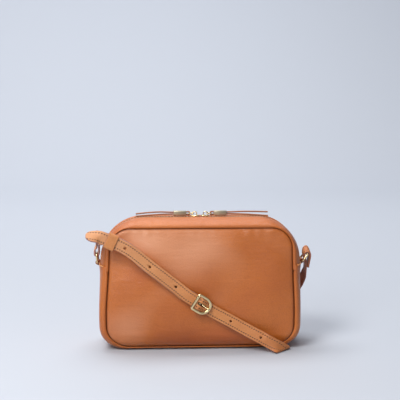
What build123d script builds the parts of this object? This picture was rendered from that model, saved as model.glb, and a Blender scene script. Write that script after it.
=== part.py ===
from build123d import *
import math
import os

# A small crossbody bag: soft shell, long zip over the top, rings at the sides, buckled strap.
# Millimetres, +Z up, front at -Y. The middle of the base is the origin.

# ---- overall ----
BODY_WIDTH = 211.6
BODY_HEIGHT = 138.0
BODY_DEPTH = 62.0          # between the two panel seams
CROWN = 5.0                # how far each panel swells past its seam
TOP_RADIUS = 47.0          # outline of the middle of the gusset
BASE_RADIUS = 23.5
LEATHER = 1.8
LINING = 0.5
LINING_GAP = 3.2
SIDE_SEAM = BODY_HEIGHT - 49.5         # seam between lower and upper gusset
TOUCH = 0.3                # gap kept between neighbouring pieces
POCKET_LOW = 38.0          # inner pocket, from the ground
POCKET_DROP = 46.0         # its opening, below the top

# ---- zip ----
SLOT = 12.0                # between the two leather edges
TOOTH_PITCH = 3.0
TOOTH_LENGTH = 1.2
TOOTH_HEIGHT = 2.4
TOOTH_REACH = 3.0          # from the middle of the zip to the tape
TOOTH_OVERLAP = 0.9
TAPE = 0.7
TAPE_WIDTH = 8.0
ZIP_DEPTH = 2.25           # middle of the teeth below the outline
FIRST_TOOTH = 5.6
ZIP_END = SIDE_SEAM + 4.0  # height where each row stops
SLIDER_NEAR = 1.0
SLIDER_FAR = 9.5
SLIDER_HALF = 4.4
SLIDER_PLATE = 1.2
BAIL_HEIGHT = 3.7
BAIL_STRIP = 1.0

# ---- pulls ----
LINK_NEAR = 6.6
LINK_FAR = 12.6
LINK_HALF = 1.9
LINK_WIRE = 0.8
LINK_RISE = 1.7            # link above the slider's top plate
TUBE_START = 14.5
TUBE_LENGTH = 13.6
TUBE_WALL = 0.4
LACE = 1.6
TUBE_SIDE = 2 * LACE + 2 * TUBE_WALL + 0.8
TAIL = 41.8                # lace beyond the tube
TAIL_UNEVEN = 2.2          # the right pair is longer by twice this

# ---- rings and tabs ----
RING_WIRE = 2.2
RING_HEIGHT = 9.0          # between the middles of the two bars
RING_RISE = 1.0            # lower bar above the side seam
RING_LEAN_LEFT = 6.0
RING_LEAN_RIGHT = 41.0
TAB_WIDTH = 14.0
TAB_LEATHER = 0.9
TAB_TAIL = 20.0

# ---- strap ----
STRAP_WIDTH = 13.0
STRAP = 2.0
STRAP_SKIVED = 1.6
STRAP_FOLD = 1.0
SIDE_PLAY = 0.4
HOLE = 1.8
KEEPER_LENGTH = 10.5
KEEPER_LEATHER = 1.4
KEEPER_LIFT = 2.2
BUCKLE_WIRE = 2.2
BUCKLE_BAR = 1.8
BAR_BACK = 3.5             # hidden bar behind the prong hole
STRAIGHT_BACK = 9.0        # straight bar behind the prong hole
BAR_LEVEL = 2.3
FRAME_LEVEL = 6.8
FRAME_LENGTH = 16.8        # straight bar to round end, between middles
FRAME_TILT = 8.0           # the round end sits lower
FRAME_PLAY = 0.6
PRONG = 1.6
HANK_RUNS = 4
HANK_STEP = STRAP + 0.4
LAID = STRAP / 2 + 0.1     # middle of a strap that lies on the ground
HANK_HALF = 82.0
STRAP_PASS = 21.8          # strap under the base, in from the right side

HALF = BODY_WIDTH / 2
SEAM_Y = BODY_DEPTH / 2
FRONT = -(SEAM_Y + CROWN + TOUCH)      # plane the strap lies on
TOP = BODY_HEIGHT
TEETH_Z = TOP - ZIP_DEPTH
PLATE_TOP = TEETH_Z + TOOTH_HEIGHT / 2 + 0.35 + SLIDER_PLATE
LINK_Z = PLATE_TOP + LINK_RISE
STRAND = LACE / 2 + 0.05
TUBE_Z = LINK_Z + 0.3
RING_X = HALF + RING_WIRE / 2 + TOUCH + TAB_LEATHER
RING_Z = SIDE_SEAM + RING_RISE


def unit(v):
    return v.normalized()


def block(x0, x1, y0, y1, z0, z1):
    size = (x1 - x0, y1 - y0, z1 - z0)
    return Pos((x0 + x1) / 2, (y0 + y1) / 2, (z0 + z1) / 2) * Box(*size)


def outline(y, side, low, high, r_low, r_high):
    """A rounded rectangle standing in the plane Y = y."""
    c = math.sqrt(0.5)
    corners = (
        (side - r_low, low + r_low, r_low, -90),
        (side - r_high, high - r_high, r_high, 0),
        (-side + r_high, high - r_high, r_high, 90),
        (-side + r_low, low + r_low, r_low, 180),
    )
    arcs = []
    for cx, cz, r, start in corners:
        p = []
        for turn in (0, 45, 90):
            a = math.radians(start + turn)
            p.append((cx + r * math.cos(a), y, cz + r * math.sin(a)))
        arcs.append(p)
    edges = []
    for k in range(4):
        edges.append(Edge.make_three_point_arc(*arcs[k]))
        edges.append(Edge.make_line(arcs[k][2], arcs[(k + 1) % 4][0]))
    return Wire(edges)


def pillow(offset):
    """The bag's solid form, every face moved in by the offset."""
    stations = (
        # depth share, depth moved in, inset of side, base and top, radii
        (SEAM_Y + CROWN, 1.0, 36.5, 31.5, 36.0, 8.0, 8.0),
        (SEAM_Y + 0.6 * CROWN, 1.0, 18.5, 13.5, 18.0, 16.0, 16.0),
        (SEAM_Y, 1.0, 10.5, 5.5, 10.0, 22.0, 22.0),
        (SEAM_Y - 5.0, 0.6, 4.3, 1.5, 3.2, 23.0, 36.0),
        (SEAM_Y - 15.0, 0.0, 0.0, 0.0, 0.0, BASE_RADIUS, TOP_RADIUS),
    )
    wires = []
    for sign in (-1, 1):
        ring = []
        for depth, share, side, low, high, r_low, r_high in stations:
            ring.append(outline(
                sign * (depth - share * offset),
                HALF - side - offset,
                low + offset,
                TOP - high - offset,
                r_low - offset,
                r_high - offset,
            ))
        wires += ring if sign < 0 else ring[::-1]
    form = Solid.make_loft(wires, ruled=True)
    x = HALF - STRAP_PASS
    reach = STRAP_WIDTH / 2 + 3.5 + offset
    return form - block(x - reach, x + reach, -60, 60, -9, STRAP + 0.6 + offset)


def shell(offset, thickness):
    return pillow(offset) - pillow(offset + thickness)


def front_panel():
    return shell(0, LEATHER) & block(-200, 200, -90, -SEAM_Y + LEATHER, -9, 300)


def back_panel():
    return shell(0, LEATHER) & block(-200, 200, SEAM_Y - LEATHER, 90, -9, 300)


def tab_slot():
    half = TAB_WIDTH / 2 + TOUCH
    rise = 2 * TAB_LEATHER + TOUCH
    return block(-200, 200, -half, half, SIDE_SEAM - rise, SIDE_SEAM + TOUCH)


def bottom_gusset():
    inner = SEAM_Y - LEATHER
    return (shell(0, LEATHER) & block(-200, 200, -inner, inner, -9, SIDE_SEAM)) - tab_slot()


def top_gusset(sign):
    inner = SEAM_Y - LEATHER
    ends = sorted((sign * SLOT / 2, sign * inner))
    return (shell(0, LEATHER) & block(-200, 200, *ends, SIDE_SEAM, 300)) - tab_slot()


def zip_tape(sign):
    ends = sorted((sign * TOOTH_REACH, sign * (TOOTH_REACH + TAPE_WIDTH)))
    ring = shell(LEATHER + 0.1, TAPE)
    return ring & block(-200, 200, *ends, SIDE_SEAM + 3, 300)


def on_zip(s):
    """Point and turn of the zip's middle line at length s from the centre of the top."""
    flat = HALF - TOP_RADIUS
    r = TOP_RADIUS - ZIP_DEPTH
    side = 1 if s > 0 else -1
    s = abs(s)
    if s <= flat:
        return side * s, TEETH_Z, 0.0
    turn = (s - flat) / r
    if turn > math.pi / 2:
        return side * (flat + r), TOP - TOP_RADIUS - (s - flat - r * math.pi / 2), side * 90.0
    x = flat + r * math.sin(turn)
    return side * x, TOP - TOP_RADIUS + r * math.cos(turn), side * math.degrees(turn)


def teeth(sign):
    length = HALF - TOP_RADIUS + (TOP_RADIUS - ZIP_DEPTH) * math.pi / 2
    length += TOP - TOP_RADIUS - ZIP_END
    shift = 0.0 if sign < 0 else TOOTH_PITCH / 2
    ends = sorted((sign * TOOTH_REACH, -sign * TOOTH_OVERLAP))
    tooth = block(-TOOTH_LENGTH / 2, TOOTH_LENGTH / 2, *ends, -TOOTH_HEIGHT / 2, TOOTH_HEIGHT / 2)
    row = []
    for side in (-1, 1):
        for k in range(int((length - FIRST_TOOTH - shift) / TOOTH_PITCH)):
            x, z, turn = on_zip(side * (FIRST_TOOTH + shift + k * TOOTH_PITCH))
            row.append(Pos(x, 0, z) * Rot(0, turn, 0) * tooth)
    return Compound(row)


def zip_stop(side):
    r = HALF - ZIP_DEPTH
    x0 = side * (r - TOOTH_HEIGHT / 2)
    x1 = side * (r + TOOTH_HEIGHT / 2)
    half = TOOTH_REACH - TOUCH
    return block(*sorted((x0, x1)), -half, half, ZIP_END - 3.5, ZIP_END - 0.6)


def lining_panel(sign):
    depth = SEAM_Y - LEATHER - LINING_GAP
    ends = sorted((sign * (depth - LINING), sign * 90))
    return shell(LEATHER + LINING_GAP, LINING) & block(-200, 200, *ends, -9, 300)


def lining_gusset():
    depth = SEAM_Y - LEATHER - LINING_GAP - LINING
    ring = shell(LEATHER + LINING_GAP, LINING) & block(-200, 200, -depth, depth, -9, 300)
    gap = TOOTH_REACH + TAPE_WIDTH
    return ring - block(-200, 200, -gap, gap, SIDE_SEAM + 3, 300)


def inner_pocket():
    """A patch pocket on the back lining, open at the top."""
    back = SEAM_Y + CROWN - LEATHER - LINING_GAP - LINING
    low, high = POCKET_LOW, TOP - POCKET_DROP
    outer = block(-50, 50, back - 5, back, low, high)
    return outer - block(-49.3, 49.3, back - 4.3, back + 1, low + 0.7, high + 7)


def bar_along_y(x, z, radius, half):
    return Pos(x, 0, z) * Rot(90, 0, 0) * Cylinder(radius, 2 * half)


def ring_tab(side):
    """A strip round the ring's lower bar, both ends through the side seam and down inside."""
    bore = RING_WIRE / 2 + TOUCH
    half = TAB_WIDTH / 2
    inner = HALF - LEATHER - 0.2
    x0 = inner - 2 * TAB_LEATHER
    low = SIDE_SEAM - 2 * TAB_LEATHER
    bridge = block(x0, RING_X, -half, half, low, SIDE_SEAM)
    tail = block(x0, inner, -half, half, SIDE_SEAM - TAB_TAIL, SIDE_SEAM)
    eye = bar_along_y(RING_X, RING_Z, bore + TAB_LEATHER, half)
    rise = block(RING_X - TAB_LEATHER, RING_X + TAB_LEATHER, -half, half, low, RING_Z)
    tab = bridge + tail + eye + rise
    tab = tab - bar_along_y(RING_X, RING_Z, bore, half + 1)
    return tab if side > 0 else mirror(tab, about=Plane.YZ)


def wire_loop(plane, x0, x1, half, radius, wire):
    """A round wire bent to a rectangle with rounded corners, lying in the plane."""
    flat = Pos((x0 + x1) / 2, 0) * RectangleRounded(x1 - x0, 2 * half, radius)
    path = (plane.location * flat).face().outer_wire()
    start = path.edges().sort_by(Edge.length)[-1]
    profile = Plane(start @ 0.5, z_dir=start % 0.5) * Circle(wire / 2)
    return sweep(profile, path=path)


def ring(side, lean):
    """A rectangular wire ring standing on its lower bar, leaning outward."""
    half = STRAP_WIDTH / 2 + 1.0 + RING_WIRE / 2
    upright = Plane((0, 0, 0), x_dir=(0, 0, 1), z_dir=(1, 0, 0))
    wire = wire_loop(upright, 0, RING_HEIGHT, half, 1.8, RING_WIRE)
    return Pos(side * RING_X, 0, RING_Z) * Rot(0, side * lean, 0) * wire


def slider(side):
    low = TEETH_Z - TOOTH_HEIGHT / 2 - 0.35
    high = TEETH_Z + TOOTH_HEIGHT / 2 + 0.35
    tape_low = TOP - LEATHER - 0.1 - TAPE
    a, b, h = SLIDER_NEAR, SLIDER_FAR, SLIDER_HALF
    body = block(a, b, -h, h, high, PLATE_TOP) + block(a, b, -h, h, low - SLIDER_PLATE, low)
    for y0, y1 in ((-h, -h + 1), (h - 1, h)):
        body += block(a, b, y0, y1, tape_low + TAPE + TOUCH, high)
        body += block(a, b, y0, y1, low, tape_low - TOUCH)
    body += block(a + 1, a + 3.2, -1.2, 1.2, low, high)
    bail_top = PLATE_TOP + BAIL_HEIGHT
    body += block(a + 2, a + 3, -0.8, 0.8, PLATE_TOP, bail_top)
    body += block(b - 1.6, b - 0.6, -0.8, 0.8, PLATE_TOP, bail_top)
    body += block(a + 2, b - 0.6, -0.8, 0.8, bail_top - BAIL_STRIP, bail_top)
    return body if side > 0 else mirror(body, about=Plane.YZ)


def pull_link(side):
    link = wire_loop(Plane.XY.offset(LINK_Z), LINK_NEAR, LINK_FAR, LINK_HALF, 1.2, LINK_WIRE)
    return link if side > 0 else mirror(link, about=Plane.YZ)


def pull_tube(side):
    h = TUBE_SIDE / 2
    i = h - TUBE_WALL
    x1 = TUBE_START + TUBE_LENGTH
    tube = block(TUBE_START, x1, -h, h, TUBE_Z - h, TUBE_Z + h)
    tube -= block(TUBE_START - 1, x1 + 1, -i, i, TUBE_Z - i, TUBE_Z + i)
    return tube if side > 0 else mirror(tube, about=Plane.YZ)


def lace_route(side):
    """From the upper tip, through the tube, round the link and back to the lower tip."""
    up = TUBE_Z + STRAND
    down = TUBE_Z - STRAND
    turn = LINK_FAR - 1.6
    x1 = TUBE_START + TUBE_LENGTH
    tail = TAIL + side * TAIL_UNEVEN
    top_tip = up - 0.2 if side > 0 else up - 1.6
    low_tip = down - 2.2 if side > 0 else down - 2.0
    points = (
        (x1 + tail, 1.4, top_tip),
        (x1 + tail / 2, 0.8, up + 0.7),
        (x1 + 1.5, 0.0, up),
        (TUBE_START + 0.6, 0.0, up),
        (turn, 0.0, LINK_Z + 2.15),
        (turn, 0.0, LINK_Z - 2.15),
        (TUBE_START + 0.6, 0.0, down),
        (x1 + 1.5, 0.0, down),
        (x1 + tail / 2, -0.8, down - 0.5),
        (x1 + tail, -1.6, low_tip),
    )
    return [Vector(side * x, y, z) for x, y, z in points]


def tangent_radii(points):
    """Each corner rounded over 0.45 of its shorter run."""
    radii = []
    for a, b, c in zip(points, points[1:], points[2:]):
        u = (b - a)
        v = (c - b)
        half = u.get_angle(v) / 2
        radii.append(0.45 * min(u.length, v.length) / math.tan(math.radians(half)))
    return radii


def pull_lace(side):
    points = lace_route(side)
    radii = tangent_radii(points)
    path = FilletPolyline(*points, radius=radii)
    wire = Wire(path.edges())
    profile = Plane(wire @ 0, z_dir=wire % 0) * Circle(LACE / 2)
    lace = sweep(profile, path=wire)
    share = lace.volume / (math.pi * LACE ** 2 / 4 * wire.length)
    rounded = ", ".join(f"{r:.1f}" for r in radii)
    print(f"lace {side:+d}: length {wire.length:.1f}, radii {rounded}, volume share {share:.4f}")
    return lace


# ---- leather strips: flat sections along a route ----

def station(point, facing, thick=STRAP, width=1.0, across=None):
    return (Vector(*point), Vector(*facing), thick, width, across)


def ribbon(stations):
    """A strip through its stations; each one faces the given way, square to the route."""
    wires = []
    last = len(stations) - 1
    for i, (p, facing, thick, width, across) in enumerate(stations):
        ahead = stations[min(i + 1, last)][0]
        behind = stations[max(i - 1, 0)][0]
        t = unit(ahead - behind)
        if across is None:
            n = unit(facing - t * facing.dot(t))
            a = t.cross(n) * (STRAP_WIDTH / 2 * width)
        else:
            a = Vector(*across) / 2
            n = unit(facing - unit(a) * facing.dot(unit(a)))
        n = n * (thick / 2)
        corners = (p - a - n, p + a - n, p + a + n, p - a + n)
        wires.append(Wire.make_polygon(corners, close=True))
    length = sum((b[0] - a[0]).length for a, b in zip(stations, stations[1:]))
    print(f"strip: {last + 1} sections, {length:.0f} mm long")
    return Solid.make_loft(wires, ruled=True)


KEEPER_AT = Vector(-HALF + 13.5, 0, TOP - 21.4)
PASS_AT = Vector(HALF - STRAP_PASS, 0, STRAP + 0.8)


def diagonal(share, sag, level):
    """A point over the front, on the line from the keeper to the lower right corner."""
    p = KEEPER_AT + (PASS_AT - KEEPER_AT) * share
    return Vector(p.X, FRONT - level, p.Z + sag)


HOLES = ((0.0794, 2.4), (0.2223, -1.0), (0.372, -4.9), (0.692, -5.2), (0.867, -2.1))
PRONG_AT = diagonal(0.5286, -6.8, 0)
ALONG = unit(diagonal(0.692, -5.2, 0) - diagonal(0.372, -4.9, 0))
BUCKLE = Plane(PRONG_AT, x_dir=ALONG, z_dir=(0, -1, 0))
KEEPER_ALONG = unit(diagonal(0.0794, 2.4, 0) - diagonal(0.0, 0.0, 0))
KEEPER = Plane(diagonal(0, 0, 0), x_dir=KEEPER_ALONG, z_dir=(0, -1, 0))
OUT = (0, -1, 0)
UNDER = STRAP / 2                      # middle of the lower layer on the front
OVER = STRAP + TOUCH + STRAP / 2       # middle of the upper layer


def at_buckle(s, level):
    return BUCKLE.from_local_coords(Vector(s, 0, level))


def at_keeper(s, level):
    return KEEPER.from_local_coords(Vector(s, 0, level))


def strap_short():
    """Buckle strap: round the left ring, forward to the keeper, down to the buckle."""
    lean = math.radians(RING_LEAN_LEFT)
    bx = -RING_X - RING_HEIGHT * math.sin(lean)
    bz = RING_Z + RING_HEIGHT * math.cos(lean)
    r = RING_WIRE / 2 + TOUCH + 0.05 + STRAP_SKIVED / 2
    t = STRAP_SKIVED
    route = [
        station((bx + 2.4, 0, bz + 10), (1, 0, 0), t),
        station((bx + r, 0, bz + 4), (1, 0, 0), t),
    ]
    for turn in range(0, 181, 30):
        a = math.radians(turn)
        n = (math.cos(a), 0, -math.sin(a))
        p = (bx + r * n[0], 0, bz + r * n[2])
        route.append(station(p, n, t, across=(0, -STRAP_WIDTH, 0)))
    route += [
        station((bx - 1.9, 0, bz + 4.5), (-1, 0, 0), t),
        station((bx + 0.3, -0.8, bz + 9.5), (-1, 0, 0), t),
        station((bx + 0.7, -5, bz + 14.8), (-1, 0, 0.1), t),
        station((bx + 0.9, -13, bz + 19.4), (-1, 0, 0.1), t),
        station((bx + 1.7, FRONT + 14.5, bz + 20.4), (-1, -0.1, 0)),
        station((bx + 3.3, FRONT + 6.0, bz + 20.6), (-0.85, -0.5, 0)),
        station((bx + 6.2, FRONT - 0.8, bz + 20.4), (-0.45, -0.85, 0)),
    ]
    lift = UNDER + KEEPER_LIFT
    for s in (-6, 18):
        route.append(station(at_keeper(s, lift), OUT))
    route += [
        station(diagonal(0.2223, -1.0, UNDER + 0.5), OUT),
        station(diagonal(0.372, -4.9, UNDER), OUT),
        station(at_buckle(-24, UNDER), OUT),
        station(at_buckle(-19, 1.9), OUT, 1.4),
        station(at_buckle(-8.5, 1.9), OUT, 1.4),
    ]
    reach = BUCKLE_BAR / 2 + TOUCH + STRAP_FOLD / 2
    w = BUCKLE.y_dir * -STRAP_WIDTH
    for turn in range(90, -91, -30):
        a = math.radians(turn)
        p = at_buckle(-BAR_BACK + reach * math.cos(a), BAR_LEVEL + reach * math.sin(a))
        n = BUCKLE.x_dir * math.cos(a) + BUCKLE.z_dir * math.sin(a)
        route.append(station(p, n, STRAP_FOLD, across=w))
    route += [
        station(at_buckle(-8.5, 0.55), (0, 1, 0), STRAP_FOLD),
        station(at_buckle(-18, 0.55), (0, 1, 0), STRAP_FOLD),
    ]
    strip = ribbon(route)
    slot = block(-BAR_BACK - 3.2, 1, -PRONG / 2 - 0.7, PRONG / 2 + 0.7, -2, 6)
    return strip - BUCKLE.location * slot


def strap_long():
    """Hole strap: right ring, a hank behind the bag, under the base, over the front."""
    x0, z0 = RING_X, RING_Z
    loop = (
        (6.8, -7.5), (7.9, -1.5), (9.1, 4.5), (8.9, 9.1), (6.5, 11.9), (3.5, 11.1),
        (1.7, 8.1), (1.9, 4.9), (3.5, 2.1), (4.5, -1.5), (4.6, -7.0),
    )
    route = []
    for i, (dx, dz) in enumerate(loop):
        j = min(i + 1, len(loop) - 1)
        k = max(i - 1, 0)
        n = (loop[k][1] - loop[j][1], 0, loop[j][0] - loop[k][0])
        route.append(station((x0 + dx, 0, z0 + dz), n, across=(0, -STRAP_WIDTH, 0)))
    y = SEAM_Y + CROWN + 4 + STRAP_WIDTH / 2
    top = LAID + HANK_STEP * HANK_RUNS
    route += [
        station((x0 + 4.4, 0.6, z0 - 11), (1, 0, 0)),
        station((x0 + 3.9, 3, z0 - 15.5), (1, 0.1, 0)),
        station((x0 + 2.5, 9, z0 - 22), (1, 0.2, 0)),
        station((x0 + 0.5, 18, z0 - 29.5), (0.95, 0.3, 0)),
        station((x0 - 1.5, 28, z0 - 38), (0.9, 0.4, -0.1)),
        station((x0 - 3.6, 36, z0 - 48), (0.85, 0.45, -0.2)),
        station((x0 - 7.6, y - 5, z0 - 60), (0.75, 0.4, -0.5)),
        station((x0 - 15, y - 2, top + 7), (0.5, 0.2, -0.85)),
        station((x0 - 27, y, top + 1.2), (0.1, 0, -1)),
        station((x0 - 37, y, top), (0, 0, -1)),
    ]
    x_pass = HALF - STRAP_PASS
    r = HANK_STEP / 2
    way = -1
    for k in range(HANK_RUNS - 1):
        level = top - k * HANK_STEP
        end = -HANK_HALF if way < 0 else HANK_HALF - STRAP_PASS / 2
        for turn in (90, 60, 30, 0, -30, -60, -90):
            a = math.radians(turn)
            p = (end + way * r * math.cos(a), y, level - r + r * math.sin(a))
            n = Vector(way * math.cos(a), 0, math.sin(a)) * (-1 if k % 2 == 0 else 1)
            route.append(station(p, n, across=(0, -STRAP_WIDTH, 0)))
        way = -way
    w = STRAP_WIDTH
    corner = (w, -w, 0)
    high = LAID + HANK_STEP
    route += [
        station((x_pass - w, y, high), (0, 0, 1), across=(0, -w, 0)),
        station((x_pass, y, high), (0, 0, 1), across=corner),
        station((x_pass + r * 0.6, y + r * 0.6, high - r * 0.4), (0.6, 0.6, 0.6), across=corner),
        station((x_pass + r * 0.7, y + r * 0.7, high - r), (0.7, 0.7, 0), across=corner),
        station((x_pass + r * 0.6, y + r * 0.6, high - r * 1.6), (0.6, 0.6, -0.6), across=corner),
        station((x_pass, y, LAID), (0, 0, -1), across=corner),
        station((x_pass, y - w, LAID), (0, 0, -1), across=(w, 0, 0)),
        station((x_pass, FRONT + 4, LAID), (0, 0, -1), across=(w, 0, 0)),
        station((x_pass, FRONT - 2.7, LAID + 0.3), (0, -0.3, -0.95), across=(w * 1.05, w * 0.2, w * 0.04)),
        station((x_pass - 0.3, FRONT - 7.4, 3.0), (0, -0.8, -0.6), across=(w * 1.16, w * 0.6, w * 0.24)),
        station((x_pass - 3.3, FRONT - 8.6, 5.4), (0, -1, -0.15), across=(w * 0.82, w * 0.28, w * 0.66)),
        station(diagonal(0.945, -0.4, 7.6), (0, -1, -0.1)),
        station(diagonal(0.867, -2.1, 5.2), OUT),
        station(diagonal(0.78, -3.9, 2.6), OUT),
        station(diagonal(0.692, -5.2, UNDER + 0.2), OUT),
        station(at_buckle(14, UNDER + 0.2), OUT),
        station(at_buckle(6, 1.7), OUT),
        station(at_buckle(2.9, 2.4), OUT),
        station(at_buckle(0.5, 3.6), OUT),
        station(at_buckle(-BAR_BACK + 2, 5.1), OUT),
        station(at_buckle(-BAR_BACK, 5.9), OUT),
        station(at_buckle(-6.5, 5.1), OUT),
        station(at_buckle(-STRAIGHT_BACK, 4.1), OUT),
        station(at_buckle(-14, 4.0), OUT),
        station(at_buckle(-19, 3.95), OUT),
        station(diagonal(0.372, -4.9, OVER), OUT),
        station(diagonal(0.2223, -1.0, OVER + 0.5), OUT),
        station(at_keeper(18, OVER + KEEPER_LIFT), OUT),
        station(at_keeper(-8, OVER + KEEPER_LIFT), OUT),
    ]
    tip = diagonal(0, 0, OVER + KEEPER_LIFT)
    for dx, dz, dy, width, turn in (
        (-14, 5.4, 0.6, 1.0, 0.4), (-19.5, 5.9, 1.2, 1.0, 0.7), (-22.5, 6.2, 1.4, 0.84, 0.8),
        (-24.6, 6.4, 1.5, 0.56, 0.8), (-25.6, 6.5, 1.6, 0.26, 0.8),
    ):
        end = (tip.X + dx, tip.Y - dy, tip.Z + dz)
        route.append(station(end, (0, -1, turn), width=width))
    strip = ribbon(route)
    for share, sag in HOLES:
        p = diagonal(share, sag, 0)
        strip -= Pos(p.X, FRONT - 4, p.Z) * Rot(90, 0, 0) * Cylinder(HOLE / 2, 16)
    half = PRONG / 2 + 0.5
    slot = block(-BAR_BACK, 3.6, -half, half, 0, 9)
    return strip - BUCKLE.location * slot


def frame_half():
    return STRAP_WIDTH / 2 + FRAME_PLAY + BUCKLE_WIRE / 2


def buckle_frame():
    """Horseshoe frame with a straight bar, and a lower hidden bar between two ears."""
    half = frame_half()
    back = 0.0
    turn = FRAME_LENGTH - half
    with BuildLine(Plane.XY) as path:
        bend = FilletPolyline(
            (turn, half), (back, half), (back, -half), (turn, -half), radius=1.6,
        )
        ThreePointArc(bend @ 1, (turn + half, 0), bend @ 0)
    start = path.line.edges()[0]
    profile = Plane(start @ 0.5, z_dir=start % 0.5) * Circle(BUCKLE_WIRE / 2)
    frame = Pos(-STRAIGHT_BACK, 0, FRAME_LEVEL) * Rot(0, FRAME_TILT, 0) * sweep(profile, path=path.line)
    run = STRAIGHT_BACK - BAR_BACK
    drop = FRAME_LEVEL - run * math.tan(math.radians(FRAME_TILT)) - BAR_LEVEL
    for w in (-half, half):
        ear = Pos(-BAR_BACK, w, BAR_LEVEL + drop / 2) * Cylinder(BUCKLE_BAR / 2, drop)
        frame += ear
    frame += Pos(-BAR_BACK, 0, BAR_LEVEL) * Rot(90, 0, 0) * Cylinder(
        BUCKLE_BAR / 2, 2 * half + BUCKLE_BAR)
    return BUCKLE.location * frame


def buckle_prong():
    """Prong: an eye round the hidden bar and a rod resting over the round end."""
    bore = BUCKLE_BAR / 2 + TOUCH
    width = PRONG + 0.2
    eye = Pos(-BAR_BACK, 0, BAR_LEVEL) * Rot(90, 0, 0) * Cylinder(bore + 0.7, width)
    tilt = math.radians(FRAME_TILT)
    run = FRAME_LENGTH * math.cos(tilt) - STRAIGHT_BACK + BAR_BACK
    rise = FRAME_LEVEL - FRAME_LENGTH * math.sin(tilt) - BAR_LEVEL
    reach = math.hypot(rise, run)
    clear = BUCKLE_WIRE / 2 + TOUCH + PRONG / 2
    tilt = math.degrees(math.atan2(rise, run) + math.asin(clear / reach))
    length = reach + 2.0
    rod = Pos(-BAR_BACK, 0, BAR_LEVEL) * Rot(0, 90 - tilt, 0) * Pos(0, 0, length / 2 + 0.8)
    rod = rod * Cylinder(PRONG / 2, length - 1.6)
    prong = eye + rod
    prong -= Pos(-BAR_BACK, 0, BAR_LEVEL) * Rot(90, 0, 0) * Cylinder(bore, width + 2)
    return BUCKLE.location * prong


def strap_keeper():
    half = STRAP_WIDTH / 2 + SIDE_PLAY
    low = KEEPER_LIFT - SIDE_PLAY
    high = KEEPER_LIFT + 2 * STRAP + TOUCH + SIDE_PLAY
    run = KEEPER_LENGTH / 2
    t = KEEPER_LEATHER
    loop = block(-run, run, -half - t, half + t, low - t, high + t)
    loop -= block(-run - 1, run + 1, -half, half, low, high)
    return KEEPER.location * loop


def main():
    os.makedirs("parts", exist_ok=True)
    pieces = {
        "front_panel": front_panel(),
        "back_panel": back_panel(),
        "bottom_gusset": bottom_gusset(),
        "top_gusset_front": top_gusset(-1),
        "top_gusset_rear": top_gusset(1),
        "zip_tape_front": zip_tape(-1),
        "zip_tape_rear": zip_tape(1),
        "zip_teeth_front": teeth(-1),
        "zip_teeth_rear": teeth(1),
        "zip_stop_left": zip_stop(-1),
        "zip_stop_right": zip_stop(1),
        "lining_front": lining_panel(-1),
        "lining_back": lining_panel(1),
        "lining_gusset": lining_gusset(),
        "inner_pocket": inner_pocket(),
        "ring_tab_left": ring_tab(-1),
        "ring_tab_right": ring_tab(1),
        "ring_left": ring(-1, RING_LEAN_LEFT),
        "ring_right": ring(1, RING_LEAN_RIGHT),
        "strap_short": strap_short(),
        "strap_long": strap_long(),
        "strap_keeper": strap_keeper(),
        "buckle_frame": buckle_frame(),
        "buckle_prong": buckle_prong(),
    }
    for name, side in (("left", -1), ("right", 1)):
        pieces["slider_" + name] = slider(side)
        pieces["pull_link_" + name] = pull_link(side)
        pieces["pull_tube_" + name] = pull_tube(side)
        pieces["pull_lace_" + name] = pull_lace(side)
    for name, shape in pieces.items():
        box = shape.bounding_box()
        low = ", ".join(f"{v:.1f}" for v in box.min)
        high = ", ".join(f"{v:.1f}" for v in box.max)
        print(f"{name:18s} {len(shape.solids()):3d} {shape.volume:10.1f}  [{low}] [{high}]")
        export_step(shape, f"parts/{name}.step")


main()
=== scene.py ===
import math
import bpy
import numpy as np
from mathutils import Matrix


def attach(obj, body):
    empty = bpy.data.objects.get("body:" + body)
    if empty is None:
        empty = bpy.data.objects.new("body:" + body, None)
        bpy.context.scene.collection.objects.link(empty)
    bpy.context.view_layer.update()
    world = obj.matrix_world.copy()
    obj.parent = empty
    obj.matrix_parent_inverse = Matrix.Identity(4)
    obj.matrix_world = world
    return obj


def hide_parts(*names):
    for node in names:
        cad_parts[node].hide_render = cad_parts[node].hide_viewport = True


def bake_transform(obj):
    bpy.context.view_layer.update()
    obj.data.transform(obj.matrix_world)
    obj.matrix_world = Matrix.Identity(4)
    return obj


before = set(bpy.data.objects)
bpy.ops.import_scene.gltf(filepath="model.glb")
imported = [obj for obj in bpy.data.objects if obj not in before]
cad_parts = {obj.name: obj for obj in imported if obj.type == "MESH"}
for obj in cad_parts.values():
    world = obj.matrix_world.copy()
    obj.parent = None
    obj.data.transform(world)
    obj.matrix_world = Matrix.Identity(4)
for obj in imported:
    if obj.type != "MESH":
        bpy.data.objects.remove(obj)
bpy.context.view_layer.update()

# ---- The studio: a sheet of pale blue paper curving up behind, two small soft lamps in front on the
# left, one high and one lower, a wide weak one on the right, a lamp above that lights the paper's far
# wall, and a camera a metre away, a little left of the middle and looking six degrees down.
paper = bpy.data.materials.new("pale_paper")
paper.use_nodes = True
paper.node_tree.nodes["Principled BSDF"].inputs["Base Color"].default_value = (0.50, 0.53, 0.59, 1)
paper.node_tree.nodes["Principled BSDF"].inputs["Roughness"].default_value = 0.9
turn = np.linspace(0, math.pi / 2, 13)
run = [(-12.0, 0.0)]
run += [(1.6 + 0.8 * math.sin(a), 0.8 - 0.8 * math.cos(a)) for a in turn] + [(2.4, 4.0)]
sweep = [(x, y, z) for y, z in run for x in (-9.0, 9.0)]
sheet = bpy.data.meshes.new("backdrop")
sheet.from_pydata(sweep, [], [(2 * i, 2 * i + 1, 2 * i + 3, 2 * i + 2) for i in range(len(run) - 1)])
sheet.materials.append(paper)
sheet.polygons.foreach_set("use_smooth", [True] * len(sheet.polygons))
backdrop = bpy.data.objects.new("backdrop", sheet)
bpy.context.scene.collection.objects.link(backdrop)


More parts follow.
